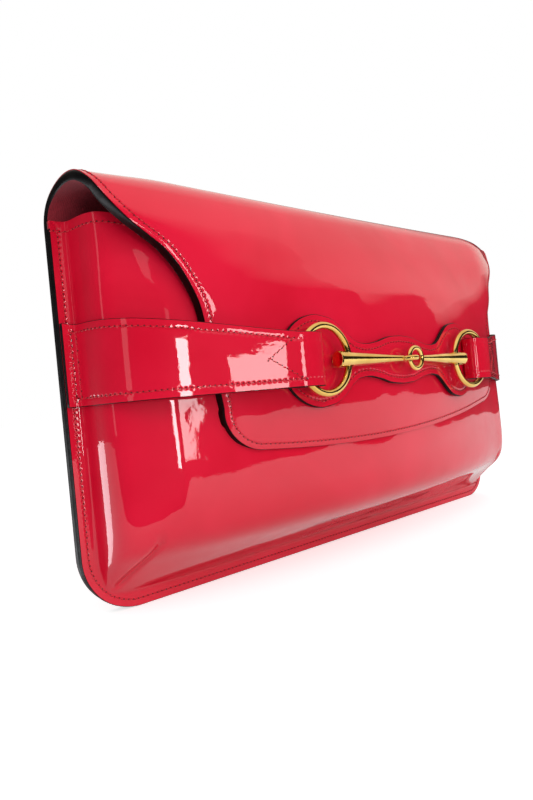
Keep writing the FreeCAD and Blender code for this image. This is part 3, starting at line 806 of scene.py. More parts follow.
@dataclass(frozen=True)
class PatentLeather(Finish):
    """Lacquered hide: a deep dyed colour under a clear, slightly rippled coat.

    Attributes:
        deep: The dye where the hide is thickest.
        light: The dye where it is thinner.
        ripple: Depth of the soft waves in the coat, in metres.
        grain: Depth of its fine unevenness.
        stitch_inset: The seam's distance from the edge.
        stitch_pitch: Length of a stitch.
        groove_half: Half the width of the groove that the stitches press in.
        groove: The groove's depth in the hide.
        coat_groove: Its depth in the coat.
    """

    deep: Colour = tone(213, 7, 43)
    light: Colour = tone(227, 20, 55)
    ripple: float = 0.00035
    grain: float = 0.000012
    stitch_inset: float = 3.1 * MM
    stitch_pitch: float = 2.4 * MM
    groove_half: float = 0.75 * MM
    groove: float = 0.00016
    coat_groove: float = 0.00011

    def lay(self, g: Graph, place: Socket) -> None:
        """Lays the material's nodes."""
        clouds = g.noise(place, 16.0, 3.0, 0.6)
        waves = g.noise(g.mapped(place, (1.0, 1.0, 1.6)), 26.0, 1.0, 0.4)
        skin = g.relief(g.noise(place, 420.0), self.grain, under=g.relief(waves, self.ripple))
        aside = g.sum_of("SUBTRACT", g.attribute("edge_gap"), self.stitch_inset)
        off = g.sum_of("DIVIDE", aside, self.groove_half)
        groove = g.sum_of("EXPONENT", g.sum_of("MULTIPLY", g.sum_of("MULTIPLY", off, off), -1.0))
        turn = g.sum_of("MULTIPLY", g.attribute("edge_run"), 2 * math.pi / self.stitch_pitch)
        beat = g.sum_of("MULTIPLY_ADD", g.sum_of("COSINE", turn), 0.35, 0.65)
        sunk = g.sum_of("MULTIPLY", g.sum_of("MULTIPLY", groove, beat), -1.0)
        g.set(
            Base_Color=g.blend(g.spread(clouds, 0.35, 0.7), self.deep, self.light),
            Normal=g.relief(sunk, self.groove, under=skin),
            Coat_Normal=g.relief(sunk, self.coat_groove, under=skin),
            Roughness=g.spread(g.noise(place, 90.0, 4.0), 0.3, 0.8, 0.34, 0.48),
        )
        g.set(IOR=1.45, Specular_IOR_Level=0.08, Coat_Weight=1.0, Coat_Roughness=0.02, Coat_IOR=1.5)


@dataclass(frozen=True)
class EdgePaint(Finish):
    """Black paint on the cut edges: rounded, satin and a little uneven."""

    colour: Colour = tone(7, 6, 7)
    rubbed: Colour = tone(16, 12, 12)
    relief: float = 0.00008

    def lay(self, g: Graph, place: Socket) -> None:
        """Lays the material's nodes."""
        patches = g.noise(place, 140.0, 3.0)
        g.set(
            Base_Color=g.blend(patches, self.colour, self.rubbed),
            Normal=g.relief(g.noise(place, 380.0, 3.0), self.relief),
            Roughness=g.spread(patches, 0.3, 0.8, 0.36, 0.55),
            IOR=1.45,
            Specular_IOR_Level=0.14,
        )


@dataclass(frozen=True)
class LiningCloth(Finish):
    """Dark red suedette: a soft nap over a fine backing weave."""

    colour: Colour = tone(120, 18, 34)
    light: Colour = tone(150, 32, 48)
    nap_depth: float = 0.0001
    weave_depth: float = 0.00006

    def lay(self, g: Graph, place: Socket) -> None:
        """Lays the material's nodes."""
        nap = g.noise(place, 900.0, 3.0)
        rubbed = g.noise(place, 28.0, 3.0, 1.0)
        both = g.sum_of("MULTIPLY_ADD", nap, 0.5, g.sum_of("MULTIPLY", rubbed, 0.5))
        weave = g.relief(g.bands(place, "X", 420.0, 1.2), self.weave_depth)
        g.set(
            Base_Color=g.blend(g.spread(both, 0.3, 0.7), self.colour, self.light),
            Normal=g.relief(nap, self.nap_depth, 0.8, weave),
        )
        g.set(Roughness=0.88, Sheen_Weight=0.35, Sheen_Roughness=0.5, Sheen_Tint=(0.9, 0.3, 0.35, 1.0))


@dataclass(frozen=True)
class FibreBoard(Finish):
    """Pressed fibre and foam between the plies: pale, matte, with loose fibres."""

    colour: Colour = tone(196, 184, 162)
    dusty: Colour = tone(150, 136, 112)
    relief: float = 0.0002

    def lay(self, g: Graph, place: Socket) -> None:
        """Lays the material's nodes."""
        fibres = g.noise(g.mapped(place, (1.0, 4.0, 1.0)), 500.0, 4.0, 1.5)
        g.set(
            Base_Color=g.blend(fibres, self.colour, self.dusty),
            Normal=g.relief(fibres, self.relief),
            Roughness=0.9,
        )


@dataclass(frozen=True)
class GoldPlate(Finish):
    """Pale gold plating: polished, with fine rubbing marks and a warmer tint in places."""

    pale: Colour = tone(234, 204, 122)
    warm: Colour = tone(208, 166, 80)
    relief: float = 0.00002

    def lay(self, g: Graph, place: Socket) -> None:
        """Lays the material's nodes."""
        rubbed = g.noise(g.mapped(place, (1.0, 1.0, 14.0)), 260.0, 4.0)
        g.set(
            Base_Color=g.blend(g.spread(g.noise(place, 70.0), 0.35, 0.7), self.pale, self.warm),
            Normal=g.relief(rubbed, self.relief, 0.5),
            Roughness=g.spread(rubbed, 0.3, 0.8, 0.07, 0.17),
            Metallic=1.0,
        )


@dataclass(frozen=True)
class WaxedThread(Finish):
    """Red waxed thread with the slant of its twist, its plies' light and shade painted into the colour."""

    colour: Colour = tone(186, 12, 36)
    light: Colour = tone(224, 56, 66)
    relief: float = 0.0001

    def lay(self, g: Graph, place: Socket) -> None:
        """Lays the material's nodes."""
        twist = g.bands(place, "DIAGONAL", 700.0, 0.8)
        # The twist shows in relief and in colour: its lighter bands are painted light on the plies' ridges,
        # its darker ones painted shade.
        g.set(Base_Color=g.blend(twist, self.colour, self.light), Normal=g.relief(twist, self.relief))
        g.set(Roughness=0.45, Specular_IOR_Level=0.3, Coat_Weight=0.15, Coat_Roughness=0.2)


@dataclass(frozen=True)
class NeedleHoleShadow(Finish):
    """The shadow inside a needle's hole."""

    colour: Colour = tone(96, 3, 18)
    dark: Colour = tone(60, 2, 12)
    relief: float = 0.00005

    def lay(self, g: Graph, place: Socket) -> None:
        """Lays the material's nodes."""
        grain = g.noise(place, 800.0)
        g.set(
            Base_Color=g.blend(grain, self.colour, self.dark),
            Normal=g.relief(grain, self.relief),
            Roughness=0.7,
        )


class Finishes:
    """Every finish of the purse, built once."""

    def __init__(self) -> None:
        """Builds them."""
        self.patent = PatentLeather().make("patent_leather")
        self.edge = EdgePaint().make("edge_paint")
        self.lining = LiningCloth().make("lining_cloth")
        self.board = FibreBoard().make("fibre_board")
        self.gold = GoldPlate().make("gold_plate")
        self.thread = WaxedThread().make("waxed_thread")
        # The needle holes' finish is their painted shadow.
        self.hole = NeedleHoleShadow().make("needle_hole_shadow")


# ---------------- places from the frame


@dataclass(frozen=True)
class Places:
    """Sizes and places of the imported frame, in millimetres."""

    half: float
    laminate: float
    mouth: float
    crown: float
    fold_y: float
    belly: float
    band_mid: float
    band_slant: float
    ring_out: float
    ring_y: float
    ring_round: float
    ring_wire: float
    eye_y: float

    @classmethod
    def read(cls) -> "Places":
        """Reads them from the frame's boxes and joints."""
        back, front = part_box("back_panel"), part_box("front_panel")
        left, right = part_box("ring_left"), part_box("ring_right")
        hinges = {j["name"]: j["pos_m"] for j in frame["joints"]}
        left_mid, right_mid = (left[0] + left[1]) / MM / 2, (right[0] + right[1]) / MM / 2
        size = (left[1] - left[0]) / MM
        slant = (left_mid.z - right_mid.z) / (right_mid.x - left_mid.x)
        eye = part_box("bit_right")
        wire = size.y / 2
        return cls(
            half=back[1].x / MM,
            laminate=back[1].y / MM,
            mouth=front[1].z / MM,
            crown=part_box("fold_crown_hide")[1].z / MM,
            fold_y=(hinges["flap_open"][1] + hinges["fold_fourth"][1]) / MM / 2,
            belly=-front[0].y / MM,
            band_mid=(left_mid.z + right_mid.z) / 2,
            band_slant=slant,
            ring_out=right_mid.x,
            ring_y=left_mid.y,
            ring_round=size.x / 2 - wire,
            ring_wire=wire,
            eye_y=eye[0].y / MM + Bit.eye_wire,
        )

    @property
    def fold_outer(self) -> float:
        """The fold's outside radius."""
        return self.crown - self.mouth

    def band(self, x: Array | float) -> Array | float:
        """Height of the straps' and bit's line at x."""
        return self.band_mid - self.band_slant * x


# ---------------- seams


@dataclass(frozen=True)
class SeamRow:
    """A row of stitches on one body.

    Attributes:
        line: Its points on the surface, in millimetres.
        up: The direction away from the surface at each of them.
    """

    line: Array
    up: Array


class Stitcher:
    """Sews rows of stitches with a Geometry Nodes tree."""

    bead_cells = {"Segments": 8, "Rings": 5}
    hole = 0.34  # a needle hole's radius, in millimetres
    slant = 0.22  # how much each stitch turns from the row, in radians
    unevenness = 0.07  # how much more or less than that it may turn

    def __init__(self, finishes: Finishes) -> None:
        """Builds the tree.

        Args:
            finishes: The purse's finishes.
        """
        self.finishes = finishes
        self.tree = bpy.data.node_groups.new("stitch_row", "GeometryNodeTree")
        face = self.tree.interface
        face.new_socket("Geometry", in_out="INPUT", socket_type="NodeSocketGeometry")
        face.new_socket("Geometry", in_out="OUTPUT", socket_type="NodeSocketGeometry")
        lengths = ("Pitch", "Stitch Length", "Thread Radius", "Hole Radius", "Slant", "Unevenness")
        others = {"Seed": "Int", "Thread": "Material", "Hole": "Material"}
        kinds = {**dict.fromkeys(lengths, "Float"), **others}
        self.sockets = {
            name: face.new_socket(name, in_out="INPUT", socket_type=f"NodeSocket{kind}").identifier
            for name, kind in kinds.items()
        }
        self._wire()

    def _wire(self) -> None:
        """Lays the tree's nodes: points along the row, a stitch and a hole's painted shadow on each."""
        g = Nodes(self.tree)
        given = g.node("NodeGroupInput").outputs
        curve = g.node("GeometryNodeMeshToCurve", {"Mesh": given["Geometry"]})
        along_row = {"Curve": curve.outputs[0], "Length": given["Pitch"]}
        spaced = g.node("GeometryNodeResampleCurve", along_row, mode="LENGTH")
        both = g.node("GeometryNodeJoinGeometry", {0: self._thread(g, given)})
        g.fill(both, {0: self._hole_shadow(g, given)})
        each = {"Instance": both.outputs[0], "Rotation": self._stance(g, given)}
        placed = g.node("GeometryNodeInstanceOnPoints", {"Points": spaced.outputs[0], **each})
        real = g.node("GeometryNodeRealizeInstances", {"Geometry": placed.outputs[0]})
        smooth = g.node("GeometryNodeSetShadeSmooth", {0: real.outputs[0]})
        dye = {"Geometry": smooth.outputs[0], "Material": given["Thread"]}
        dyed = g.node("GeometryNodeSetMaterial", dye)
        # The flat beads take the dark finish: the painted shadow inside each needle hole.
        which = g.node("GeometryNodeInputNamedAttribute", {"Name": "is_hole"}, data_type="BOOLEAN")
        holes = {"Selection": which.outputs["Attribute"], "Material": given["Hole"]}
        dark = g.node("GeometryNodeSetMaterial", {"Geometry": dyed.outputs[0], **holes})
        g.node("NodeGroupOutput", {"Geometry": dark.outputs[0]})

    @staticmethod
    def _stance(g: Nodes, given: bpy.types.NodeOutputs) -> Socket:
        """How each stitch is turned: along the row, upright, then slanted by about the same angle."""
        upward = g.node("GeometryNodeInputNamedAttribute", {"Name": "up"}, data_type="FLOAT_VECTOR")
        tangent = g.node("GeometryNodeInputTangent").outputs[0]
        along = g.node("FunctionNodeAlignRotationToVector", {"Vector": tangent}, axis="X")
        stood = g.node(
            "FunctionNodeAlignRotationToVector",
            {"Rotation": along.outputs["Rotation"], "Vector": upward.outputs["Attribute"]},
            axis="Z",
            pivot_axis="X",
        )
        uneven = given["Unevenness"]
        limits = {2: g.sum_of("MULTIPLY", uneven, -1.0), 3: uneven, "Seed": given["Seed"]}
        chance = g.node("FunctionNodeRandomValue", limits, data_type="FLOAT")
        lean = g.sum_of("ADD", chance.outputs[1], given["Slant"])
        turn = g.node("ShaderNodeCombineXYZ", {"Z": lean})
        euler = g.node("FunctionNodeEulerToRotation", {0: turn.outputs[0]})
        turns = {0: stood.outputs["Rotation"], 1: euler.outputs[0]}
        return g.node("FunctionNodeRotateRotation", turns, rotation_space="LOCAL").outputs[0]

    def _thread(self, g: Nodes, given: bpy.types.NodeOutputs) -> Socket:
        """One stitch: a long bead."""
        bead = g.node("GeometryNodeMeshUVSphere", {**self.bead_cells, "Radius": 0.5})
        thick = g.sum_of("MULTIPLY", given["Thread Radius"], 2.0)
        size = g.node("ShaderNodeCombineXYZ", {"X": given["Stitch Length"], "Y": thick, "Z": thick})
        shape = {"Geometry": bead.outputs["Mesh"], "Scale": size.outputs[0]}
        return g.node("GeometryNodeTransform", shape).outputs[0]

    def _hole_shadow(self, g: Nodes, given: bpy.types.NodeOutputs) -> Socket:
        """One needle hole's painted shadow: a flat dark bead half a stitch further on."""
        pit = g.node("GeometryNodeMeshUVSphere", {**self.bead_cells, "Radius": 1.0})
        radius = given["Hole Radius"]
        size = {"X": radius, "Y": radius, "Z": g.sum_of("MULTIPLY", radius, 0.35)}
        wide = g.node("ShaderNodeCombineXYZ", size)
        aside = g.node("ShaderNodeCombineXYZ", {"X": g.sum_of("MULTIPLY", given["Pitch"], 0.5)})
        shape = {"Geometry": pit.outputs["Mesh"], "Scale": wide.outputs[0], "Translation": aside.outputs[0]}
        sunk = g.node("GeometryNodeTransform", shape)
        mark = {"Geometry": sunk.outputs[0], "Name": "is_hole", "Value": True}
        kind = "GeometryNodeStoreNamedAttribute"
        return g.node(kind, mark, data_type="BOOLEAN", domain="FACE").outputs[0]

    def sew(
        self,
        name: str,
        rows: Sequence[SeamRow],
        pitch: float = 2.4,
        length: float = 1.9,
        thread: float = 0.26,
        seed: int = 1,
    ) -> Piece:
        """Sews rows that share a body.

        Args:
            name: The stitches' name.
            rows: The rows.
            pitch: From one stitch to the next, in millimetres.
            length: A stitch's length.
            thread: The thread's radius.
            seed: Picks the small differences between stitches.

        Returns:
            The stitches as one mesh.
        """
        points, edges, ups, count = [], [], [], 0
        for row in rows:
            points.append(row.line + row.up * (thread * 0.35))
            edges.extend((count + i, count + i + 1) for i in range(len(row.line) - 1))
            ups.append(row.up)
            count += len(row.line)
        mesh = bpy.data.meshes.new(f"{name}_rows")
        mesh.from_pydata([tuple(p) for p in np.vstack(points) * MM], edges, [])
        kept = mesh.attributes.new("up", "FLOAT_VECTOR", "POINT")
        kept.data.foreach_set("vector", np.vstack(ups).astype(np.float32).ravel())
        rail = bpy.data.objects.new(f"{name}_rows", mesh)
        bpy.context.scene.collection.objects.link(rail)
        modifier = rail.modifiers.new("stitches", "NODES")
        modifier.node_group = self.tree
        lengths = (pitch * MM, length * MM, thread * MM, self.hole * MM)
        finishes = (self.finishes.thread, self.finishes.hole)
        given = (*lengths, self.slant, self.unevenness, seed, *finishes)
        for identifier, value in zip(self.sockets.values(), given):
            modifier[identifier] = value
        graph = bpy.context.evaluated_depsgraph_get()
        made = bpy.data.meshes.new_from_object(rail.evaluated_get(graph))
        made.name = name
        for spare in ("up", "is_hole"):
            if spare in made.attributes:
                made.attributes.remove(made.attributes[spare])
        bpy.data.objects.remove(rail)
        piece = bpy.data.objects.new(name, made)
        bpy.context.scene.collection.objects.link(piece)
        return piece


def seam_on(lift: Lift, flat: Array, outward: float, step: float = 0.05) -> SeamRow:
    """A stitch row lifted from the flat pattern to its surface."""
    flat = resample(flat, 1.0)
    return SeamRow(lift(*flat.T), normal_of(lift, flat, step) * outward)


# ---------------- back, fold and flap


@dataclass
class Sewn:
    """What the sewn parts share: their tools, and sizes in millimetres."""

    places: Places
    finishes: Finishes
    stitcher: Stitcher
    hide: float = 1.3
    lining: float = 1.0
    gap: float = 0.02
    cheek: float = 139.0
    full_bow: float = 19.0
    left_corner: float = 26.0
    right_corner: float = 19.0
    seam_inset: float = 3.2

    @property
    def seat(self) -> float:
        """Thickness of a hide with its lining."""
        return self.hide + self.lining

    def on_case(self, piece: Piece, slot: str, node: str = "") -> Piece:
        """Fixes a piece to the case.

        Args:
            piece: The piece.
            slot: A material slot's name; not used.
            node: The frame's node that it stands for, if it stands for one.

        Returns:
            The piece.
        """
        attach(piece, "case")
        if node:
            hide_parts(node)
        return piece


@dataclass(frozen=True)
class Zone:
    """A stretch of the wrap between two of its cuts.

    Attributes:
        name: Its name in piece names.
        low: Where it starts along the wrap, in degrees round the fold; None at the bottom edge.
        high: Where it ends; None at the flap's edge.
        bodies: The bodies that it joins.
        start: Where it starts to turn: y and z.
        end: Where its turn is complete.
        nodes: The frame's nodes that its hide, core and lining stand for.
    """

    name: str
    low: float | None
    high: float | None
    bodies: tuple[str, str]
    start: Pair
    end: Pair
    nodes: dict[Ply, tuple[str, ...]]


@dataclass
class Wrap(Sewn):
    """Back, fold and flap: one laminate of hide, core and lining round the mouth.

    Its flat pattern has x across and the length along the wrap upwards, 0 at the fold's start.
    """

    core: float = 1.7
    flap_corner: float = 20.0
    corner_at: float = 105.0
    hem_height: float = 60.9
    hem_slant: float = 0.031
    hem_bow: float = 0.0007
    shoulder: float = 7.0
    shoulder_over: Pair = (60.0, 82.0)
    below_shoulder: float = 4.0
    below_over: Pair = (82.0, 98.0)
    squeeze: float = 4.5
    squeeze_over: Pair = (112.0, 164.0)
    left_fall: float = 2.8
    left_fall_over: Pair = (116.0, 160.0)
    right_fall: float = 6.6
    right_fall_over: Pair = (136.0, 160.0)
    fall_rate: float = 0.93
    circle_end: float = 150.0
    crown_sag: float = 1.2
    tuck: float = 2.2
    tuck_over: Pair = (118.0, 160.0)
    tuck_turn: Pair = (60.0, 172.0)
    settle: float = 46.0
    curl: float = 1.2
    curl_run: float = 4.5
    curl_from: Pair = (2.0, 24.0)
    lean: float = 0.42
    lean_from: Pair = (50.0, 64.0)
    lean_beyond: Pair = (92.0, 104.0)
    proud: float = 0.45

    def __post_init__(self) -> None:
        """Works out the curves that the shape follows."""
        p = self.places
        self.radius = p.fold_outer
        self.circle_length = math.radians(self.circle_end) * self.radius
        self.flap_top = p.mouth + self.radius * math.sin(math.radians(self.circle_end))
        start = -p.fold_y + self.radius * abs(math.cos(math.radians(self.circle_end)))
        full = p.belly + p.laminate + 0.4
        near = [(0.0, start), (10.5, start + 4.8), (26.5, full - 8.1), (41.5, full - 3.1)]
        far = [(58.5, full - 0.6), (76.5, full), (96.5, full - 0.4), (118.0, full - 1.8)]
        self.depth = Stations(near + far, start_slope=0.577)
        bow = [(0.0, 0.0), (10.5, 1.5), (26.5, 6.6), (41.5, 13.0), (58.5, 17.4), (118.0, 17.4)]
        self.bow = Stations(bow)
        fold_ins = [(-p.mouth, 0.0), (4.0, 0.0), (24.0, 1.4), (44.0, 2.0), (50.0, 3.0), (55.0, 5.0)]
        curve_ins = [(60.0, 8.0), (65.0, 11.9), (71.0, 17.9), (76.0, 24.5), (82.0, 32.3), (95.0, 41.0)]
        tongue_ins = [(110.0, 46.6), (130.0, 49.0), (182.0, 55.9)]
        self.width = Stations([(s, p.half - d) for s, d in fold_ins + curve_ins + tongue_ins])
        self.outline = self._outline()
        self.edge_line = loop_round(self.outline, 0.5)

    def lift(self, x: Array, s: Array) -> Array:
        """The outer surface over flat places."""
        p, turn_end = self.places, math.radians(self.circle_end)
        radius = self.radius - self.squeeze * ease(x, *self.squeeze_over)
        angle = np.radians(np.clip(s, 0.0, self.circle_length) / self.circle_length * self.circle_end)
        centre_y, centre_z = p.laminate - radius, p.crown - radius
        drop = np.maximum(s - self.circle_length, 0.0) * self.fall_rate
        glow_dimmed_near_purse = self.depth(drop) - self.bow(drop) * (x / self.cheek) ** 2
        tuck = self.tuck * ease(x, *self.tuck_over) * ease(np.degrees(angle) + drop, *self.tuck_turn)
        eased = 1.0 - ease(drop, 0.0, self.settle)
        sine = np.sin(angle)
        end_y, end_z = centre_y + radius * math.cos(turn_end), centre_z + radius * math.sin(turn_end)
        on_back, on_fold = s <= 0.0, s <= self.circle_length
        round_y = centre_y + radius * np.cos(angle)
        flap_y = -glow_dimmed_near_purse + (end_y + self.depth(0.0)) * eased
        y = np.where(on_back, p.laminate, np.where(on_fold, round_y, flap_y)) + tuck * eased
        flap_z = self.flap_top - drop + (end_z - self.flap_top) * eased
        back_z = p.mouth + s + (centre_z - p.mouth) * ease(s, -90.0, 0.0)
        z = np.where(on_back, back_z, np.where(on_fold, centre_z + radius * sine, flap_z))
        sag = self.crown_sag * (1.0 - (x / p.half) ** 2) * sine
        sag = sag + self.left_fall * ease(-x, *self.left_fall_over) * sine**3
        start, end = self.right_fall_over
        sag = sag + self.right_fall * np.clip((x - start) / (end - start), 0.0, 1.0) ** 2 * sine
        return np.stack([x, y + self._curl(x, s, drop), z - np.where(on_back, 0.0, sag * eased)], axis=1)

    def _curl(self, x: Array, s: Array, drop: Array) -> Array:
        """How far the flap's edges turn in towards the front."""
        reach = np.where(x > 0.0, self.reach(Side.RIGHT, s), self.width(s))
        beside, below = np.maximum(reach - np.abs(x), 0.0), np.maximum(self.hem(x) - s, 0.0)
        near = np.exp(-beside / self.curl_run) + 0.7 * np.exp(-below / self.curl_run)
        return self.curl * near * ease(drop, *self.curl_from)

    def hem(self, x: Array | float) -> Array | float:
        """Length along the wrap at the flap's lower edge, which hangs a little askew."""
        height = self.hem_height + self.hem_slant * x + self.hem_bow * x * x
        return self.circle_length + (self.flap_top - height) / self.fall_rate

    def reach(self, side: Side, s: Array | float) -> Array | float:
        """How far the wrap reaches on one side; the right shoulder is fuller."""
        fuller = self.shoulder * ease(s, *self.shoulder_over)
        fuller = fuller + self.below_shoulder * ease(s, *self.below_over)
        return self.width(s) + (fuller if side is Side.RIGHT else 0.0)

    def _side(self, side: Side, low: float, high: float) -> list[Pair]:
        """The wrap's side edge between two lengths."""
        steps = max(2, int(abs(high - low) / 1.6) + 1)
        return [(side.value * float(self.reach(side, s)), float(s)) for s in np.linspace(low, high, steps)]

    def _foot(self) -> list[Pair]:
        """The bottom edge with its two corners, from left to right."""
        half, low = self.places.half, 0.3 - self.places.mouth
        left, right = self.left_corner, self.right_corner
        line = [(x, low) for x in np.linspace(-half + left, half - right, 120)]
        return (
            arc((-half + left, low + left), left, 180, 270, 22)[:-1]
            + line
            + arc((half - right, low + right), right, 270, 360, 18)[1:]
        )

    def _tongue(self) -> list[Pair]:
        """The flap's free edge with its two corners, from right to left."""
        r = self.flap_corner
        right = float(self.reach(Side.RIGHT, self.hem(self.corner_at) - r)) - r
        left = float(self.width(self.hem(-self.corner_at) - r)) - r
        line = [(x, float(self.hem(x))) for x in np.linspace(right, -left, 110)]
        return (
            arc((right, float(self.hem(right)) - r), r, 0, 90, 18)[:-1]
            + line
            + arc((-left, float(self.hem(-left)) - r), r, 90, 180, 18)[1:]
        )

    def _outline(self) -> Array:
        """The whole flat pattern's edge, anticlockwise from its bottom left corner."""
        foot, tongue = self._foot(), self._tongue()
        right = self._side(Side.RIGHT, foot[-1][1], tongue[0][1])
        left = self._side(Side.LEFT, tongue[-1][1], foot[0][1])
        return np.array(foot + right[1:-1] + tongue + left[1:-1])

    def _cut_at(self, degrees: float | None, outside: float) -> float:
        """Length along the wrap at a cut, or the given one where there is no cut."""
        return outside if degrees is None else math.radians(degrees) * self.radius

    def _pattern(self, zone: Zone) -> Patch:
        """One zone's flat pattern."""
        foot, tongue = self._foot(), self._tongue()
        low, high = self._cut_at(zone.low, foot[-1][1]), self._cut_at(zone.high, tongue[0][1])
        points: list[Pair] = []
        joined: list[bool] = []

        def add(part: list[Pair], seam: bool = False) -> None:
            """Adds a part of the outline."""
            points.extend(part)
            joined.extend([seam] * len(part))

        def ends(s: float) -> Pair:
            """The wrap's left and right edge at a cut."""
            return -float(self.width(s)), float(self.reach(Side.RIGHT, s))

        if zone.low is None:
            add(foot)
        else:
            left, right = ends(low)
            add([(left, low)])
            add([(x, low) for x in np.linspace(left, right, 109)[1:-1]], True)
            add([(right, low)])
        if zone.high is None:
            add(self._side(Side.RIGHT, low, high)[1:-1])
            add(tongue)
            add(self._side(Side.LEFT, tongue[-1][1], low)[1:-1])
        else:
            left, right = ends(high)
            add(self._side(Side.RIGHT, low, high)[1:])
            add([(x, high) for x in np.linspace(right, left, 109)[1:-1]], True)
            add(self._side(Side.LEFT, high, foot[0][1] if zone.low is None else low)[:-1])
        return Patch.cut(np.array(points), 3.2, (0.5, 1.4, 2.8, 4.4, 6.2), np.array(joined))

    def zones(self) -> list[Zone]:
        """The wrap's stretches, cut midway between the fold's hinge lines."""
        top, cut, mouth = self.places.crown, self.places.laminate, self.places.mouth

        def named(*layers: tuple[str, ...]) -> dict[Ply, tuple[str, ...]]:
            """The nodes of the hide, the core and the lining."""
            return dict(zip(Ply, layers))

        back = named(("back_panel",), ("back_stiffener",), ("back_lining",))
        rear = named(("fold_rear_hide",), ("fold_rear_padding",), ("fold_rear_lining",))
        front = named(
            ("fold_crown_hide", "fold_front_hide"),
            ("fold_crown_padding", "fold_front_padding"),
            ("fold_crown_lining", "fold_front_lining"),
        )
        flap = named(
            ("flap_panel", "flap_tongue"),
            ("flap_stiffener", "tongue_padding"),
            ("flap_lining", "tongue_lining"),
        )
        starts = [(cut, mouth), (cut - 8.2, top - 4.0), (cut - 22.0, top), (cut - 40.7, mouth + 6.0)]
        ends = [(cut - 4.7, mouth + 13.5), (cut - 16.2, top - 0.1), (cut - 28.7, top - 3.0)]
        ends += [(cut - 42.7, mouth - 6.0)]
        return [
            Zone("back", None, 45.0, ("case", "fold_rear"), starts[0], ends[0], back),
            Zone("fold_rear", 45.0, 90.0, ("fold_rear", "fold_crown"), starts[1], ends[1], rear),
            Zone("fold_front", 90.0, 135.0, ("fold_crown", "fold_front"), starts[2], ends[2], front),
            Zone("flap", 135.0, None, ("fold_front", "flap"), starts[3], ends[3], flap),
        ]

    def _plies(self, zone: Zone, patch: Patch) -> list[Piece]:
        """A zone's three plies. The core carries the painted edge of all three."""
        f, former, proud, line = self.finishes, Former(self.lift, -1.0), self.proud, self.edge_line
        total, bottom = self.places.laminate, self.hide + self.core
        turn = np.linspace(0, math.pi, 8)
        depths = 0.3 + (total - 0.4) * (1 - np.cos(turn)) / 2
        shares = tuple(zip(proud * np.sin(turn), (depths - self.hide) / self.core))
        edge = Bead(((0.0, 0.0), *shares, (0.0, 1.0)), (1,) * (len(shares) + 1))
        plain = Bead(((0.0, 0.0), (0.0, 1.0)), (0,))
        core, lean = [f.board, f.edge], self._lean(patch)
        return [
            former.ply(f"{zone.name}_face", patch, 0.0, self.hide, plain, [f.patent], line, setback=proud),
            former.ply(
                f"{zone.name}_core", patch, self.hide, bottom, edge, core, line, setback=proud, lean=lean
            ),
            former.ply(f"{zone.name}_inside", patch, bottom, total, plain, [f.lining], line, setback=proud),
        ]

    def _lean(self, patch: Patch) -> Array:
        """How much the cut edge slopes: the flap's sides show more of their thickness."""
        x, s = patch.flat[patch.rim].T
        return self.lean * ease(s, *self.lean_from) * ease(np.abs(x), *self.lean_beyond)

    def _seams(self) -> dict[str, list[SeamRow]]:
        """The stitch rows inside the wrap's edge, shared out to its zones."""
        dense = loop_round(inset(self.outline, self.seam_inset), 0.5)
        found: dict[str, list[SeamRow]] = {}
        for zone in self.zones():
            low, high = self._cut_at(zone.low, -math.inf), self._cut_at(zone.high, math.inf)
            held = (dense[:, 1] >= low) & (dense[:, 1] < high)
            first = int(np.argmin(held))
            turned, kept = np.roll(dense, -first, axis=0), np.roll(held, -first)
            starts = np.flatnonzero(kept & ~np.roll(kept, 1))
            ends = np.flatnonzero(kept & ~np.roll(kept, -1))
            rows = [turned[a : b + 1] for a, b in zip(starts, ends) if b - a > 6]
            found[zone.name] = [seam_on(self.lift, row, -1.0) for row in rows]
        return found

    def build(self) -> list[Piece]:
        """Builds and dresses the wrap.

        Returns:
            Its pieces.
        """
        made = []
        rows = self._seams()
        for number, zone in enumerate(self.zones()):
            patch = self._pattern(zone)
            plies = self._plies(zone, patch)
            stitches = self.stitcher.sew(f"{zone.name}_stitches", rows[zone.name], seed=11 + number)
            start = tuple(v * MM for v in (0.0, *zone.start))
            end = tuple(v * MM for v in (0.0, *zone.end))
            for piece in [*plies, stitches]:
                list(zone.bodies)
                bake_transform(piece)
            for piece, ply, slot in zip(plies, Ply, ("patent", "board", "lining")):
                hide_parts(*zone.nodes[ply])
            made += [*plies, stitches]
        return made


# ---------------- front and pocket


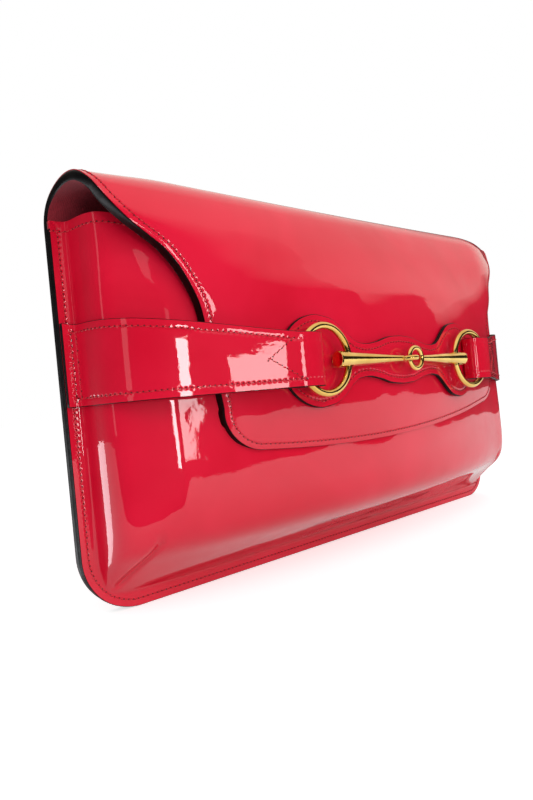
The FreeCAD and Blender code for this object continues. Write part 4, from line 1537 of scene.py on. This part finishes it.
@dataclass
class Front(Sewn):
    """The bulged front with its flange, its lining, the strip facing its mouth and the slip pocket."""

    strip_low: float = 0.84
    wide: float = 340.0
    high: float = 210.0
    mouth_lift: float = 3.0
    mouth_ends: Pair = (128.0, 150.0)
    mouth_from: float = 145.0
    foot_lift: float = 0.3
    ridge: float = 2.0
    ridge_at: float = -126.0
    ridge_tails: Pair = (10.5, 13.0)
    ridge_from: Pair = (24.0, 52.0)
    ridge_until: Pair = (120.0, 152.0)
    ridge_depths: Pair = (8.0, 20.0)
    dip: float = 1.25
    dip_at: float = -144.0
    dip_half: float = 8.5
    dart: float = 2.3
    dart_half: float = 1.35
    dart_top: Pair = (136.0, 30.0)
    dart_foot: Pair = (149.0, 8.0)
    dart_from: Pair = (7.0, 12.0)
    dart_until: Pair = (27.0, 38.0)
    dart_depths: Pair = (3.0, 8.0)

    def __post_init__(self) -> None:
        """Works out the net of control points that the bulge hangs on."""
        full, rim, bow = self.places.belly, self.seat, self.full_bow
        profile = [(0.0, rim, 0.0), (3.0, rim, 0.0), (6.5, rim, 0.0), (8.2, rim + 2.2, 0.8)]
        profile += [(13.0, 15.0, 6.0), (21.0, 31.0, 13.0), (27.0, 45.0, 18.0)]
        profile += [(36.0, full + 1.8, bow), (55.0, full + 1.9, bow)]
        profile += [(80.0, full + 0.9, bow), (104.0, full + 0.1, bow), (122.0, full - 1.0, bow)]
        profile += [(137.0, full - 3.9, 15.5), (149.0, full - 7.9, 10.5), (158.0, full - 11.8, 6.5)]
        profile += [(self.places.mouth, full - 15.8, 4.0)]
        rows = []
        for height, depth, bow in profile:
            left = self._half_row(depth, bow, (0.44, 0.70, 0.87, 0.09, 0.035))
            right = self._half_row(depth, bow, (0.45, 0.82, 1.02, 0.0, 0.0))
            line = [(-x, -d) for x, d in left] + [(0.0, -depth)] + [(x, -d) for x, d in right[::-1]]
            rows.append([(x, y, height) for x, y in line])
        self.net = np.array(rows)

    def _half_row(
        self, depth: float, bow: float, turn: tuple[float, float, float, float, float]
    ) -> list[Pair]:
        """One side of a row of control points, from the flange to beside the middle.

        Args:
            depth: The row's depth in the middle.
            bow: How far it falls back towards the cheek.
            turn: How gently the cheek turns into the face: three shares of the wall, then two falls.

        Returns:
            Distances from the middle with their depths.
        """
        rim = self.seat
        wall = max(depth - bow, rim) - rim
        first, second, third, near, far = turn
        flange = [(159.6, rim), (156.8, rim), (153.8, rim)]
        cheek = [(152.4, 0.10), (151.6, first), (149.4, second), (143.0, third)]
        face = [(131.0, near), (117.0, far), (100.0, 0.0), (78.0, 0.0), (53.0, 0.0), (27.0, 0.0)]
        return (
            flange
            + [(x, rim + share * wall) for x, share in cheek]
            + [(x, max(depth - bow * (x / self.cheek) ** 2 - fall * wall, rim)) for x, fall in face]
        )

    def lift(self, a: Array, b: Array) -> Array:
        """The outer surface over flat places."""
        a, b = np.asarray(a, float), np.asarray(b, float)
        across = spline_weights(self.net.shape[1], a / self.wide)
        up = spline_weights(self.net.shape[0], b / self.high)
        rows = np.tensordot(up, self.net, axes=(1, 0))
        place = np.einsum("nc,nck->nk", across, rows)
        return self._crease(self._ridge(self._rounded(place)))

    def _rounded(self, place: Array) -> Array:
        """Rounds the two bottom corners and lifts the mouth's ends."""
        x, y, z = place.T
        for side, r in ((Side.LEFT, self.left_corner), (Side.RIGHT, self.right_corner)):
            start = self.places.half - 0.4 - r
            p, q = (x * side.value - start) / r, (r - z) / r
            near = (p > 0) & (q > 0)
            pc, qc = np.clip(p, 0, 1), np.clip(q, 0, 1)
            x = np.where(near, side.value * (start + pc * np.sqrt(1 - qc * qc / 2) * r), x)
            z = np.where(near, r - qc * np.sqrt(1 - pc * pc / 2) * r, z)
        ends = self.mouth_lift * ease(np.abs(x), *self.mouth_ends)
        ends = ends * ease(z, self.mouth_from, self.places.mouth)
        return np.stack([x, y, z + ends + self.foot_lift * (1.0 - ease(z, 0.0, 8.0))], axis=1)

    def _ridge(self, place: Array) -> Array:
        """Lifts the soft fold that runs up the left cheek from its dart."""
        x, y, z = place.T
        off, rise = x - self.ridge_at, ease(z, *self.ridge_from)
        away = 1.4142 - np.sqrt(off * off + 2.0)
        lift = self.ridge * np.exp(away / np.where(off < 0.0, *self.ridge_tails)) * (x < 0.0)
        lift *= rise * (1 - ease(z, *self.ridge_until))
        lift -= self.dip * bump_at(x, self.dip_at, self.dip_half) * rise
        return np.stack([x, y - lift * ease(-y, *self.ridge_depths), z], axis=1)

    def _crease(self, place: Array) -> Array:
        """Pinches the darts that shape the bottom corners."""
        x, y, z = place.T
        (start_x, start_z), (end_x, end_z) = self.dart_foot, self.dart_top
        line = start_x + (end_x - start_x) * np.clip((z - start_z) / (end_z - start_z), 0.0, 1.0)
        pinch = self.dart * bump_at((np.abs(x) - line) * 0.8, 0.0, self.dart_half)
        pinch = pinch * ease(z, *self.dart_from)
        pinch *= (1 - ease(z, *self.dart_until)) * ease(-y, *self.dart_depths)
        return np.stack([x - np.sign(x) * pinch * 0.3, y + pinch * 0.85, z], axis=1)

    def _columns(self, count: int = 80) -> Array:
        """Places of the columns, closer together at the walls."""
        side = np.linspace(0.0, 0.30, count)
        middle = np.linspace(0.30, 0.70, 58)[1:-1]
        return np.concatenate([side, middle, 1.0 - side[::-1]]) * self.wide

    def _rows(self, low: float, high: float) -> Array:
        """Places of the rows between two shares of the height."""
        share = np.concatenate([np.linspace(0.0, 0.5, 76), np.linspace(0.5, 1.0, 50)[1:]])
        share = share[(share >= low) & (share <= high)]
        return share * self.high

    def _seams(self) -> list[SeamRow]:
        """The flange's stitches and the hem's."""
        share = self.seam_inset
        half, mouth = self.places.half, self.places.mouth
        left, right = self.left_corner - share, self.right_corner - share
        lx, rx = -half + self.left_corner, half - self.right_corner
        line = (
            [(-half + share, z) for z in np.linspace(mouth, self.left_corner, 90)]
            + arc((lx, self.left_corner), left, 180, 270, 24)[1:]
            + [(x, share) for x in np.linspace(lx, rx, 140)[1:]]
            + arc((rx, self.right_corner), right, 270, 360, 20)[1:]
            + [(half - share, z) for z in np.linspace(self.right_corner, mouth, 90)[1:]]
        )
        flat = resample(np.array(line), 1.0)
        depth = np.full(len(flat), -self.seat)
        place = np.stack([flat[:, 0], depth, flat[:, 1]], axis=1)
        flange = SeamRow(place, np.tile((0.0, -1.0, 0.0), (len(flat), 1)))
        hem = np.array([(a, self.high * 0.986) for a in np.linspace(0.5, self.wide - 0.5, 400)])
        return [flange, seam_on(self.lift, hem, 1.0, 0.3)]

    def build(self) -> list[Piece]:
        """Builds and dresses the front.

        Returns:
            Its pieces.
        """
        f, former = self.finishes, Former(self.lift, 1.0, 0.3)
        patch = Patch.grid(self._columns(), self._rows(0.0, 1.0))
        flat_rim = patch.flat[patch.rim]
        finish = np.where(flat_rim[:, 1] > self.high - 1e-6, 0, 1)
        edge_at = self.lift(*patch.flat.T)[:, [0, 2]]
        lower = edge_at[patch.rim][finish == 1]
        split = int(np.argmax(np.linalg.norm(np.diff(lower, axis=0), axis=1))) + 1
        line = resample(np.roll(lower, -split, axis=0), 0.5)
        bead, hide_paint, lining_paint = Bead.round(0.3, 1), [f.patent, f.edge], [f.lining, f.edge]
        hide = former.ply(
            "front_hide", patch, 0.0, self.hide, bead, hide_paint, line, rim_finish=finish, edge_at=edge_at
        )
        inner = former.ply(
            "front_inside", patch, self.hide + self.gap, self.seat, bead, lining_paint, rim_finish=finish
        )
        strip = Patch.grid(self._columns(58)[9:-9], self._rows(self.strip_low, 1.0))
        top, bottom = self.seat + self.gap, self.seat + self.hide
        faced = former.ply("mouth_strip", strip, top, bottom, Bead.round(0.2), [f.patent])
        pocket = self._pocket()
        stitches = self.stitcher.sew("front_stitches", self._seams(), seed=31)
        return [
            self.on_case(hide, "patent", "front_panel"),
            self.on_case(inner, "lining", "front_lining"),
            self.on_case(faced, "patent", "mouth_facing"),
            self.on_case(pocket, "lining", "slip_pocket"),
            self.on_case(stitches, "patent"),
        ]

    def _pocket(self) -> Piece:
        """The flat pocket sewn to the back lining, a little slack at its open top."""
        low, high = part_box("slip_pocket")
        half = (high.x - low.x) / 2 / MM
        bottom, top = low.z / MM, high.z / MM

        def lift(x: Array, z: Array) -> Array:
            """The pocket's outer face."""
            share = (z - bottom) / (top - bottom)
            slack = 0.75 * (1 - (x / half) ** 2) * np.clip(share, 0, 1) ** 1.5
            return np.stack([x, -1.25 - np.clip(slack, 0, 1), z], axis=1)

        patch = Patch.grid(np.linspace(-half, half, 61), np.linspace(bottom, top, 41))
        return Former(lift, 1.0).ply("pocket", patch, 0.0, 1.15, Bead.round(0.25), [self.finishes.lining])


# ---------------- straps and the bit's backing


@dataclass
class Strap(Sewn):
    """A strap: from the flange over the cheek to its ring, folded round it and back.

    Its flat pattern has the length from the flange across and the height from the band's line up.
    """

    side: Side = Side.LEFT
    low_half: float = 13.4
    high_half: float = 21.6
    loop_half: float = 11.75
    seam_inset: float = 3.1
    merge: float = 97.0
    sewn_at: float = 159.4
    narrow_at: float = 79.0
    right_slack: float = 3.0
    slack_from: Pair = (88.0, 112.0)
    slack_until: Pair = (141.0, 152.0)
    arrow_tip: float = 92.5
    arrow_upper: float = 82.0
    arrow_lower: float = 78.6

    def __post_init__(self) -> None:
        """Lays the strap's path seen from above."""
        face = self.seat * 2
        fold_out = self.places.ring_out + 2.7
        front = -self.places.ring_y + 3.9
        flange = [(self.sewn_at, face), (157.0, face), (154.6, face), (153.6, face + 3.2)]
        wall = [(153.0, 15.0), (150.6, 24.0), (144.5, 32.9), (139.5, 37.0), (133.0, 41.4), (129.0, 43.4)]
        cheek = [(125.0, 45.3), (121.5, 46.8), (117.0, 48.5), (112.5, 50.15), (108.0, 51.7), (104.0, 53.05)]
        near_ring = [(96.0, 55.7), (90.0, 57.7), (86.0, 59.1), (82.0, 60.8), (79.0, 62.2), (76.5, front)]
        round_ring = [(73.0, front + 0.3), (69.0, front + 0.2), (fold_out - 0.6, front - 1.6)]
        round_ring += [(fold_out - 0.9, front - 6.0), (fold_out + 0.2, front - 10.6)]
        round_ring += [(fold_out + 5.0, front - 12.1)]
        turned_back = [(77.0, 51.2), (83.0, 51.8), (89.0, 52.0), (96.0, 51.0)]
        slack = self.right_slack if self.side is Side.RIGHT else 0.0
        self.line = spline_line(
            [
                (x, d - slack * float(ease(x, *self.slack_from) * (1.0 - ease(x, *self.slack_until))))
                for x, d in flange + wall + cheek + near_ring + round_ring + turned_back
            ],
            420,
        )
        self.run = run_length(self.line)
        self.length = float(self.run[-1])
        self.fold_at = float(self.run[int(np.argmin(self.line[:, 0]))])

    def lift(self, p: Array, t: Array) -> Array:
        """The outer face over flat places."""
        x = np.interp(p, self.run, self.line[:, 0]) * self.side.value
        y = -np.interp(p, self.run, self.line[:, 1])
        return np.stack([x, y, self.places.band(x) + t], axis=1)

    def _smooth_lift(self, p: Array, t: Array) -> Array:
        """The outer face, carried on past both ends."""
        over = np.clip(p - self.length, 0.0, None) + np.clip(p, None, 0.0)
        place = self.lift(np.clip(p, 0.0, self.length), t)
        place[:, 0] -= self.side.value * over
        return place

    def _halves(self, p: Array) -> tuple[Array, Array]:
        """How far the strap reaches below and above the band's line."""
        x = np.interp(p, self.run, self.line[:, 0])
        share = np.clip((x - self.narrow_at) / (self.sewn_at - self.narrow_at), 0.0, 1.0)
        share = np.where(p > self.fold_at, 0.0, share)
        loop = self.loop_half
        return loop + (self.low_half - loop) * share, loop + (self.high_half - loop) * share

    def _outline(self, end: float) -> Array:
        """The strap's edge from the flange to a length, anticlockwise."""
        p = np.append(np.arange(0.0, end, 1.5), end)
        low, high = self._halves(p)
        return np.array(
            [(a, -b) for a, b in zip(p, low)]
            + [(end, t) for t in np.linspace(-low[-1], high[-1], 18)[1:-1]]
            + [(a, b) for a, b in zip(p[::-1], high[::-1])]
            + [(0.0, t) for t in np.linspace(high[0], -low[0], 24)[1:-1]]
        )

    def _place_at(self, x: float) -> float:
        """The length at which the strap's front part is at x."""
        part = self.run <= self.fold_at
        return float(self.run[part][np.argmin(np.abs(self.line[part, 0] - x))])

    def _seams(self) -> list[SeamRow]:
        """The rows along the edges, the arrow that holds the turned end, and the end's row."""
        gap = self.seam_inset
        ends = (self.arrow_tip, self.arrow_upper, self.arrow_lower)
        tip, upper, lower = (self._place_at(x) for x in ends)
        p_high, p_low = np.arange(gap, upper, 1.0), np.arange(gap, lower, 1.0)
        top = np.stack([p_high, self._halves(p_high)[1] - gap], axis=1)
        bottom = np.stack([p_low, gap - self._halves(p_low)[0]], axis=1)
        (low, start_low), (high, start_high) = self._halves(np.array([tip, gap]))
        middle = (high - low) / 2
        end = np.array([(gap, start_high - gap), (gap, gap - start_low)])
        second = end + np.array([(2.4, -2.0), (2.4, 2.0)])
        arrow_up = np.array([(upper, top[-1, 1]), (tip, middle)])
        arrow_down = np.array([(tip, middle), (lower, bottom[-1, 1])])
        out = -float(self.side.value)
        rows = [top, bottom, end, second, arrow_up, arrow_down]
        return [seam_on(self._smooth_lift, row, out) for row in rows]

    def build(self) -> list[Piece]:
        """Builds and dresses the strap.

        Returns:
            Its pieces.
        """
        f, word, out = self.finishes, self.side.word, -float(self.side.value)
        former = Former(self._smooth_lift, out, 0.15)
        outline, short = self._outline(self.length), self._outline(self._place_at(self.merge))
        patch = Patch.cut(outline, 2.4, (0.4, 1.1, 2.1, 3.1, 4.4))
        paint, line = [f.patent, f.edge], loop_round(outline, 0.5)
        hide = former.ply(f"strap_{word}_hide", patch, 0.0, self.hide, Bead.round(0.3, 1), paint, line)
        under = Patch.cut(short, 3.0)
        top, paint = self.hide + self.gap, [f.lining, f.edge]
        lining = former.ply(f"strap_{word}_under", under, top, self.seat, Bead.round(0.25, 1), paint)
        stitches = self.stitcher.sew(f"strap_{word}_stitches", self._seams(), seed=41 + self.side.value)
        return [
            self.on_case(hide, "patent", f"strap_{word}"),
            self.on_case(lining, "lining", f"strap_{word}_lining"),
            self.on_case(stitches, "patent"),
        ]


@dataclass
class Backing(Sewn):
    """The stitched leather behind the bit: a wavy outline with two round ends."""

    lobe_out: float = 58.0
    lobe_round: float = 21.5
    seam_inset: float = 2.6

    def __post_init__(self) -> None:
        """Works out the outline's half height from the middle to an end."""
        r, joined = self.lobe_round, self.lobe_out - 8.0
        waist = [(0.0, 12.3), (9.0, 11.6), (19.0, 9.0), (27.0, 7.9), (33.0, 8.6), (38.0, 11.4)]
        joined_half = math.sqrt(r * r - (self.lobe_out - joined) ** 2)
        lobe = [(43.0, 15.6), (joined, joined_half), (self.lobe_out, r)]
        self.half = Stations(waist + lobe)
        self.face = -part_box("bit_backing")[0].y / MM

    def lift(self, x: Array, t: Array) -> Array:
        """The outer face over flat places."""
        depth = self.face - self.full_bow * (x / self.cheek) ** 2
        return np.stack([x, -depth, self.places.band(x) + t], axis=1)

    def _outline(self) -> Array:
        """The edge, anticlockwise."""
        x = np.linspace(-self.lobe_out, self.lobe_out, 110)
        low = [(float(v), -float(self.half(abs(v)))) for v in x]
        right = arc((self.lobe_out, 0.0), self.lobe_round, -90, 90, 46)[1:-1]
        left = arc((-self.lobe_out, 0.0), self.lobe_round, 90, 270, 46)[1:-1]
        return np.array(low + right + [(a, -b) for a, b in low[::-1]] + left)

    def build(self) -> list[Piece]:
        """Builds and dresses the backing.

        Returns:
            Its pieces.
        """
        f, former = self.finishes, Former(self.lift, 1.0)
        outline = loop_round(self._outline(), 1.0)[:-1]
        patch = Patch.cut(outline, 2.4, (0.4, 1.0, 1.8, 2.6, 3.8))
        bead, paint, line = Bead.round(0.35, 1), [f.patent, f.edge], loop_round(outline, 0.4)
        hide = former.ply("backing_hide", patch, 0.0, self.hide, bead, paint, line)
        top, paint = self.hide + self.gap, [f.lining, f.edge]
        under = former.ply("backing_under", patch, top, self.seat, bead, paint)
        row = inset(outline, self.seam_inset)
        ring = seam_on(self.lift, np.vstack([row, row[:1]]), 1.0)
        sizes = {"pitch": 2.2, "length": 1.7, "thread": 0.24}
        stitches = self.stitcher.sew("backing_stitches", [ring], seed=51, **sizes)
        return [
            self.on_case(hide, "patent", "bit_backing"),
            self.on_case(under, "patent", "bit_backing_lining"),
            self.on_case(stitches, "patent"),
        ]


# ---------------- rings and bit


@dataclass
class Bit:
    """The two rings and the two bars, linked by their eyes."""

    places: Places
    finishes: Finishes
    butt: float = 4.1
    neck: float = 1.45
    overrun: float = 6.8
    eye_wire: float = 1.3
    left_eye: float = 4.2
    right_eye: float = 5.3
    bore: float = 2.1
    flat_cap: tuple[tuple[float, ...], ...] = ((0.55, 0.6, 0.45, 0.1), (0.05, 3.2, 3.65, 4.0))
    domed_cap: tuple[tuple[float, ...], ...] = ((2.3, 2.1, 1.5, 0.7), (0.05, 1.6, 2.9, 3.75))

    def _ring(self, side: Side) -> Piece:
        """One round ring."""
        p = self.places
        centre, steps = p.ring_out * side.value, 144
        turn = np.linspace(0, 2 * math.pi, steps, endpoint=False)
        x, z = centre + p.ring_round * np.cos(turn), p.band(centre) + p.ring_round * np.sin(turn)
        line = np.stack([x, np.full(steps, p.ring_y), z], axis=1)
        tube = swept_tube(line, np.full(steps, p.ring_wire), 28, closed=True)
        ring = join_tubes(f"ring_{side.word}_wire", [tube], self.finishes.gold)
        return self._dress(ring, f"ring_{side.word}")

    def _axis(self, x: float) -> Array:
        """The bit's axis at x: nearest at the middle, falling back to the rings."""
        p = self.places
        share = abs(x) / (p.ring_out - p.ring_round)
        return np.array([x, p.eye_y + (p.ring_y - p.eye_y) * share, p.band(x)])

    def _bar(self, side: Side) -> Piece:
        """One flared bar with its eye, bored for its ring."""
        p = self.places
        eye_round = self.left_eye if side is Side.LEFT else self.right_eye
        eye_x = (eye_round - self.eye_wire - 0.4) * side.value
        outer = self._axis((p.ring_out - p.ring_round + self.overrun) * side.value)
        inner = self._axis(eye_x + (eye_round - 0.2) * side.value)
        middle = [(0.10, 3.75), (0.28, 3.15), (0.5, 2.6), (0.75, 1.95)]
        flare = Stations([(0.0, self.butt), *middle, (1.0, self.neck)])
        share = np.concatenate([np.linspace(0.0, 0.04, 6), np.linspace(0.04, 1.0, 70)[1:]])
        line = outer + (inner - outer) * share[:, None]
        along = (inner - outer) / np.linalg.norm(inner - outer)
        out, lip = self.flat_cap if side is Side.LEFT else self.domed_cap
        cap = np.array([outer - along * v for v in out])
        tube = swept_tube(np.vstack([cap, line]), np.concatenate([lip, flare(share)]), 40, closed=False)
        eye = self._eye(side, eye_x, eye_round)
        bar = join_tubes(f"bit_{side.word}_bar", [tube, eye], self.finishes.gold)
        self._drill(bar, self._axis((p.ring_out - p.ring_round) * side.value))
        return self._dress(bar, f"bit_{side.word}")

    @staticmethod
    def _dress(piece: Piece, node: str) -> Piece:
        """Fixes a gold piece to the body that has its node's name."""
        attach(piece, node)
        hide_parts(node)
        return piece

    def _eye(self, side: Side, x: float, radius: float) -> tuple[Array, list]:
        """A bar's eye: flat on the left bar, upright on the right one."""
        turn = np.linspace(0, 2 * math.pi, 72, endpoint=False)
        _, y, z = self._axis(0.0)
        a, b, none = radius * np.cos(turn), radius * np.sin(turn), np.zeros(len(turn))
        line = (x + a, y + b, z + none) if side is Side.LEFT else (x + a, y + none, z + b)
        return swept_tube(np.stack(line, axis=1), np.full(len(turn), self.eye_wire), 20, closed=True)

    def _drill(self, bar: Piece, centre: Array) -> None:
        """Cuts the hole that the ring passes through."""
        line = np.array([centre + np.array([0.0, 0.0, v]) for v in (-9.0, 0.0, 9.0)])
        tube = swept_tube(line, np.full(len(line), self.bore), 40, closed=False)
        drill = join_tubes("drill", [tube], self.finishes.gold)
        cut = bar.modifiers.new("bore", "BOOLEAN")
        cut.operation, cut.solver, cut.object = "DIFFERENCE", "EXACT", drill
        graph = bpy.context.evaluated_depsgraph_get()
        bored = bpy.data.meshes.new_from_object(bar.evaluated_get(graph))
        bar.modifiers.clear()
        bar.data = bored
        bored.set_sharp_from_angle(angle=math.radians(40))
        bpy.data.objects.remove(drill)

    def build(self) -> list[Piece]:
        """Builds and dresses the metal.

        Returns:
            Its pieces.
        """
        return [self._ring(side) for side in Side] + [self._bar(side) for side in Side]


# ---------------- studio


@dataclass(frozen=True)
class Softbox:
    """A plain soft lamp.

    Attributes:
        name: Its name.
        place: Where it stands, in metres.
        target: What it faces.
        size: Its width and height.
        power: Its power in watts.
        mirrored: Whether the lacquer and the metal show it.
    """

    name: str
    place: Point
    target: Point
    size: Pair
    power: float
    mirrored: bool = True


@dataclass(frozen=True)
class Flag:
    """A dark card that the lacquer and the metal mirror; it neither shades the purse nor shows itself.

    Attributes:
        name: Its name.
        heading: Its middle, in degrees from straight in front towards the right.
        span: Its width in degrees.
        high: Its upper edge's height, in metres.
        fade: The height over which its upper edge fades.
        low: Its lower edge's height.
        distance: How far away it stands.
    """

    name: str
    heading: float
    span: float
    high: float
    fade: float
    low: float = -0.1
    distance: float = 1.7


def polar(heading: float, distance: float, height: float, start: Pair = (0.0, 0.0)) -> Point:
    """A place by its heading from straight in front of the start towards the right, in metres."""
    angle = math.radians(heading)
    return (start[0] + distance * math.sin(angle), start[1] - distance * math.cos(angle), height)


@dataclass
class Studio:
    """A pale floor, a white surround, soft lamps and the camera."""

    lens: float = 27.0
    eye: Point = (-0.2605, -0.2468, 0.0863)
    turn: Point = (89.88, 5.46, -40.8)
    warm: tuple[float, float, float, float] = (1.0, 0.88, 0.80, 1.0)

    def floor(self) -> None:
        """The floor, seen as near white with the purse's shadow on it; in the lacquer it glows, with a
        painted shadow close to the purse.
        """
        g = Graph("pale_floor")
        path = g.node("ShaderNodeLightPath").outputs
        # Glossy rays see the floor glow, weaker close to the purse: a painted reflection with a painted
        # shadow near the purse.
        glow_dimmed_near_purse = g.spread(g.sum_of("MULTIPLY", g.axis("Y"), -1.0), 0.055, 0.26, 0.30, 0.64)
        mirrored = g.sum_of("MULTIPLY", path["Is Glossy Ray"], glow_dimmed_near_purse)
        g.set(
            Base_Color=g.blend(g.noise(g.place(), 6.0), (0.78,) * 3, (0.82,) * 3),
            Roughness=0.9,
            Specular_IOR_Level=0.0,
            Emission_Color=(1.0, 1.0, 1.0, 1.0),
            Emission_Strength=g.sum_of("MULTIPLY_ADD", path["Is Camera Ray"], 0.62, mirrored),
        )
        size = 12.0
        corners = [(-size, -size), (size, -size), (size, size), (-size, size)]
        self._sheet("floor", corners, 0.0, g)

    @staticmethod
    def _sheet(name: str, corners: Sequence[Pair], height: float, finish: Graph) -> Piece:
        """A level sheet with its corners anticlockwise, in metres."""
        points = np.array([(x, y, height) for x, y in corners])
        return mesh_piece(name, points, [tuple(range(len(corners)))], [finish.material])

    def surround(self) -> None:
        """White where it is seen, warm where it is mirrored, softer where it only lights."""
        world = bpy.data.worlds.new("surround")
        bpy.context.scene.world = world
        world.use_nodes = True
        g = Nodes(world.node_tree)
        path = g.node("ShaderNodeLightPath").outputs
        mirrored = g.sum_of("MAXIMUM", path["Is Glossy Ray"], path["Is Transmission Ray"])
        seen = g.sum_of("MAXIMUM", path["Is Camera Ray"], mirrored)
        strength = g.node("ShaderNodeMapRange", {"Value": seen, "To Min": 0.58, "To Max": 1.0})
        colours = {0: mirrored, 6: (1.0, 1.0, 1.0, 1.0), 7: self.warm}
        tint = g.node("ShaderNodeMix", colours, data_type="RGBA")
        light = {"Color": tint.outputs[2], "Strength": strength.outputs["Result"]}
        g.node("ShaderNodeOutputWorld", {"Surface": g.node("ShaderNodeBackground", light).outputs[0]})

    def lamps(self) -> None:
        """The soft lamps."""
        high, low = (0.0, 0.0, 0.1), (0.0, 0.0, 0.08)
        plan = [
            Softbox("window_left", polar(-18.0, 0.9, 0.113, (-0.127, -0.041)), high, (0.078, 0.215), 0.98),
            Softbox("window_right", polar(4.0, 1.55, 0.130, (-0.1, -0.046)), high, (0.225, 0.25), 1.6),
            Softbox("window_upper", polar(-1.0, 1.5, 0.48, (-0.13, -0.03)), high, (0.32, 0.26), 0.22),
            Softbox("side", polar(-75.0, 1.5, 0.5), (-0.1, 0.0, 0.1), (0.20, 0.9), 0.62),
            Softbox("key", polar(16.0, 1.6, 0.95), low, (1.0, 1.0), 9.0, mirrored=False),
            Softbox("fill", polar(-50.0, 1.3, 1.3), low, (0.8, 0.8), 2.2, mirrored=False),
        ]
        for box in plan:
            light = bpy.data.lights.new(box.name, "AREA")
            light.shape, light.size, light.size_y = "RECTANGLE", *box.size
            light.energy = box.power
            lamp = bpy.data.objects.new(box.name, light)
            lamp.location = box.place
            lamp.visible_glossy = box.mirrored
            towards = Vector(box.target) - Vector(box.place)
            lamp.rotation_euler = towards.to_track_quat("-Z", "Y").to_euler()
            bpy.context.scene.collection.objects.link(lamp)

    def flags(self) -> None:
        """The cards round the purse and on the table, dark but for one."""
        plan = [
            Flag("flag_left", -95.0, 170.0, 1.40, 0.30),
            Flag("flag_front", 20.0, 60.0, 1.45, 0.50),
            Flag("flag_right", 58.0, 16.0, 0.90, 0.16),
            Flag("flag_far", 84.0, 36.0, 0.50, 0.14),
            Flag("flag_rear", 141.0, 78.0, 1.30, 0.60),
        ]
        for card in plan:
            self._flag(card)
        near = [(-0.165, -0.13), (-0.15, -0.25), (-0.118, -0.40), (-0.04, -0.62), (0.10, -0.84)]
        far = [(0.45, -0.95), (1.8, -0.95), (1.8, -1.9), (-1.9, -1.9), (-1.9, -0.1), (-0.4, -0.1)]
        dark, white = ((0.01,) * 3, (0.02,) * 3), (1.0, 1.0, 1.0, 1.0)
        self._card("table_end", (near + far)[::-1], 0.0006, dark, white, 0.02, Specular_IOR_Level=0.0)
        gleam = [(-0.1835, 0.0156), (-1.41, 0.977), (-0.95, 1.38), (-0.172, 0.026)]
        self._card("table_gleam", gleam, 0.001, ((0.5,) * 3, (0.6,) * 3), (0.92, 0.95, 1.0, 1.0), 6.0)

    def _card(
        self,
        name: str,
        corners: Sequence[Pair],
        height: float,
        cloth: tuple[Colour, Colour],
        glow: tuple[float, float, float, float],
        strength: float,
        **finish: float,
    ) -> None:
        """A card on the table.

        Args:
            name: Its name.
            corners: Its corners, in metres.
            height: Its height over the table.
            cloth: The two colours that it is mottled with.
            glow: The colour that it shines with.
            strength: How strongly it shines.
            finish: Other inputs of its shader.
        """
        g = Graph(name)
        g.set(Base_Color=g.blend(g.noise(g.place(), 3.0), *cloth), Roughness=0.9, **finish)
        g.set(Emission_Color=glow, Emission_Strength=strength)
        self._only_mirrored(self._sheet(name, corners, height, g))

    def _flag(self, card: Flag) -> None:
        """A dark card curved round the purse, fading to white at its upper edge."""
        g = Graph(card.name)
        cloth = g.noise(g.place(), 2.2, 3.0)
        height = g.sum_of("MULTIPLY_ADD", cloth, 0.3, g.sum_of("SUBTRACT", g.axis("Z"), 0.15))
        g.set(
            Base_Color=g.blend(cloth, (0.01,) * 3, (0.02,) * 3),
            Roughness=0.9,
            Specular_IOR_Level=0.0,
            Emission_Color=self.warm,
            Emission_Strength=g.spread(height, card.high - card.fade, card.high, 0.015, 0.95),
        )
        steps = 13
        headings = np.linspace(card.heading - card.span / 2, card.heading + card.span / 2, steps)
        points = [polar(heading, card.distance, z) for heading in headings for z in (card.low, card.high)]
        faces = [(2 * i, 2 * i + 1, 2 * i + 3, 2 * i + 2) for i in range(steps - 1)]
        self._only_mirrored(mesh_piece(card.name, np.array(points), faces, [g.material]))

    @staticmethod
    def _only_mirrored(piece: Piece) -> None:
        """Lets a card show in gloss and metal only."""
        piece.visible_camera = False
        piece.visible_diffuse = False
        piece.visible_shadow = False

    def camera(self) -> None:
        """The camera close to the purse's left front."""
        data = bpy.data.cameras.new("camera")
        data.lens = self.lens
        data.sensor_width = 36.0
        data.clip_start = 0.01
        camera = bpy.data.objects.new("camera", data)
        camera.location = self.eye
        camera.rotation_euler = Euler([math.radians(v) for v in self.turn], "XYZ")
        bpy.context.scene.collection.objects.link(camera)
        bpy.context.scene.camera = camera

    def build(self) -> None:
        """Sets the studio up."""
        self.floor()
        self.surround()
        self.lamps()
        self.flags()
        self.camera()
        bpy.context.scene.view_settings.view_transform = "Standard"


def main() -> None:
    """Builds the studio and every sub-assembly in order."""
    logging.basicConfig(level=logging.INFO, format="%(name)s: %(message)s")
    Studio().build()
    places = Places.read()
    finishes = Finishes()
    stitcher = Stitcher(finishes)
    assemblies = [
        Wrap(places, finishes, stitcher),
        Front(places, finishes, stitcher),
        Strap(places, finishes, stitcher, side=Side.LEFT),
        Strap(places, finishes, stitcher, side=Side.RIGHT),
        Backing(places, finishes, stitcher),
        Bit(places, finishes),
    ]
    for assembly in assemblies:
        for piece in assembly.build():
            log.info("%s: %s, %d faces", type(assembly).__name__, piece.name, len(piece.data.polygons))


if __name__ == "__main__":
    main()
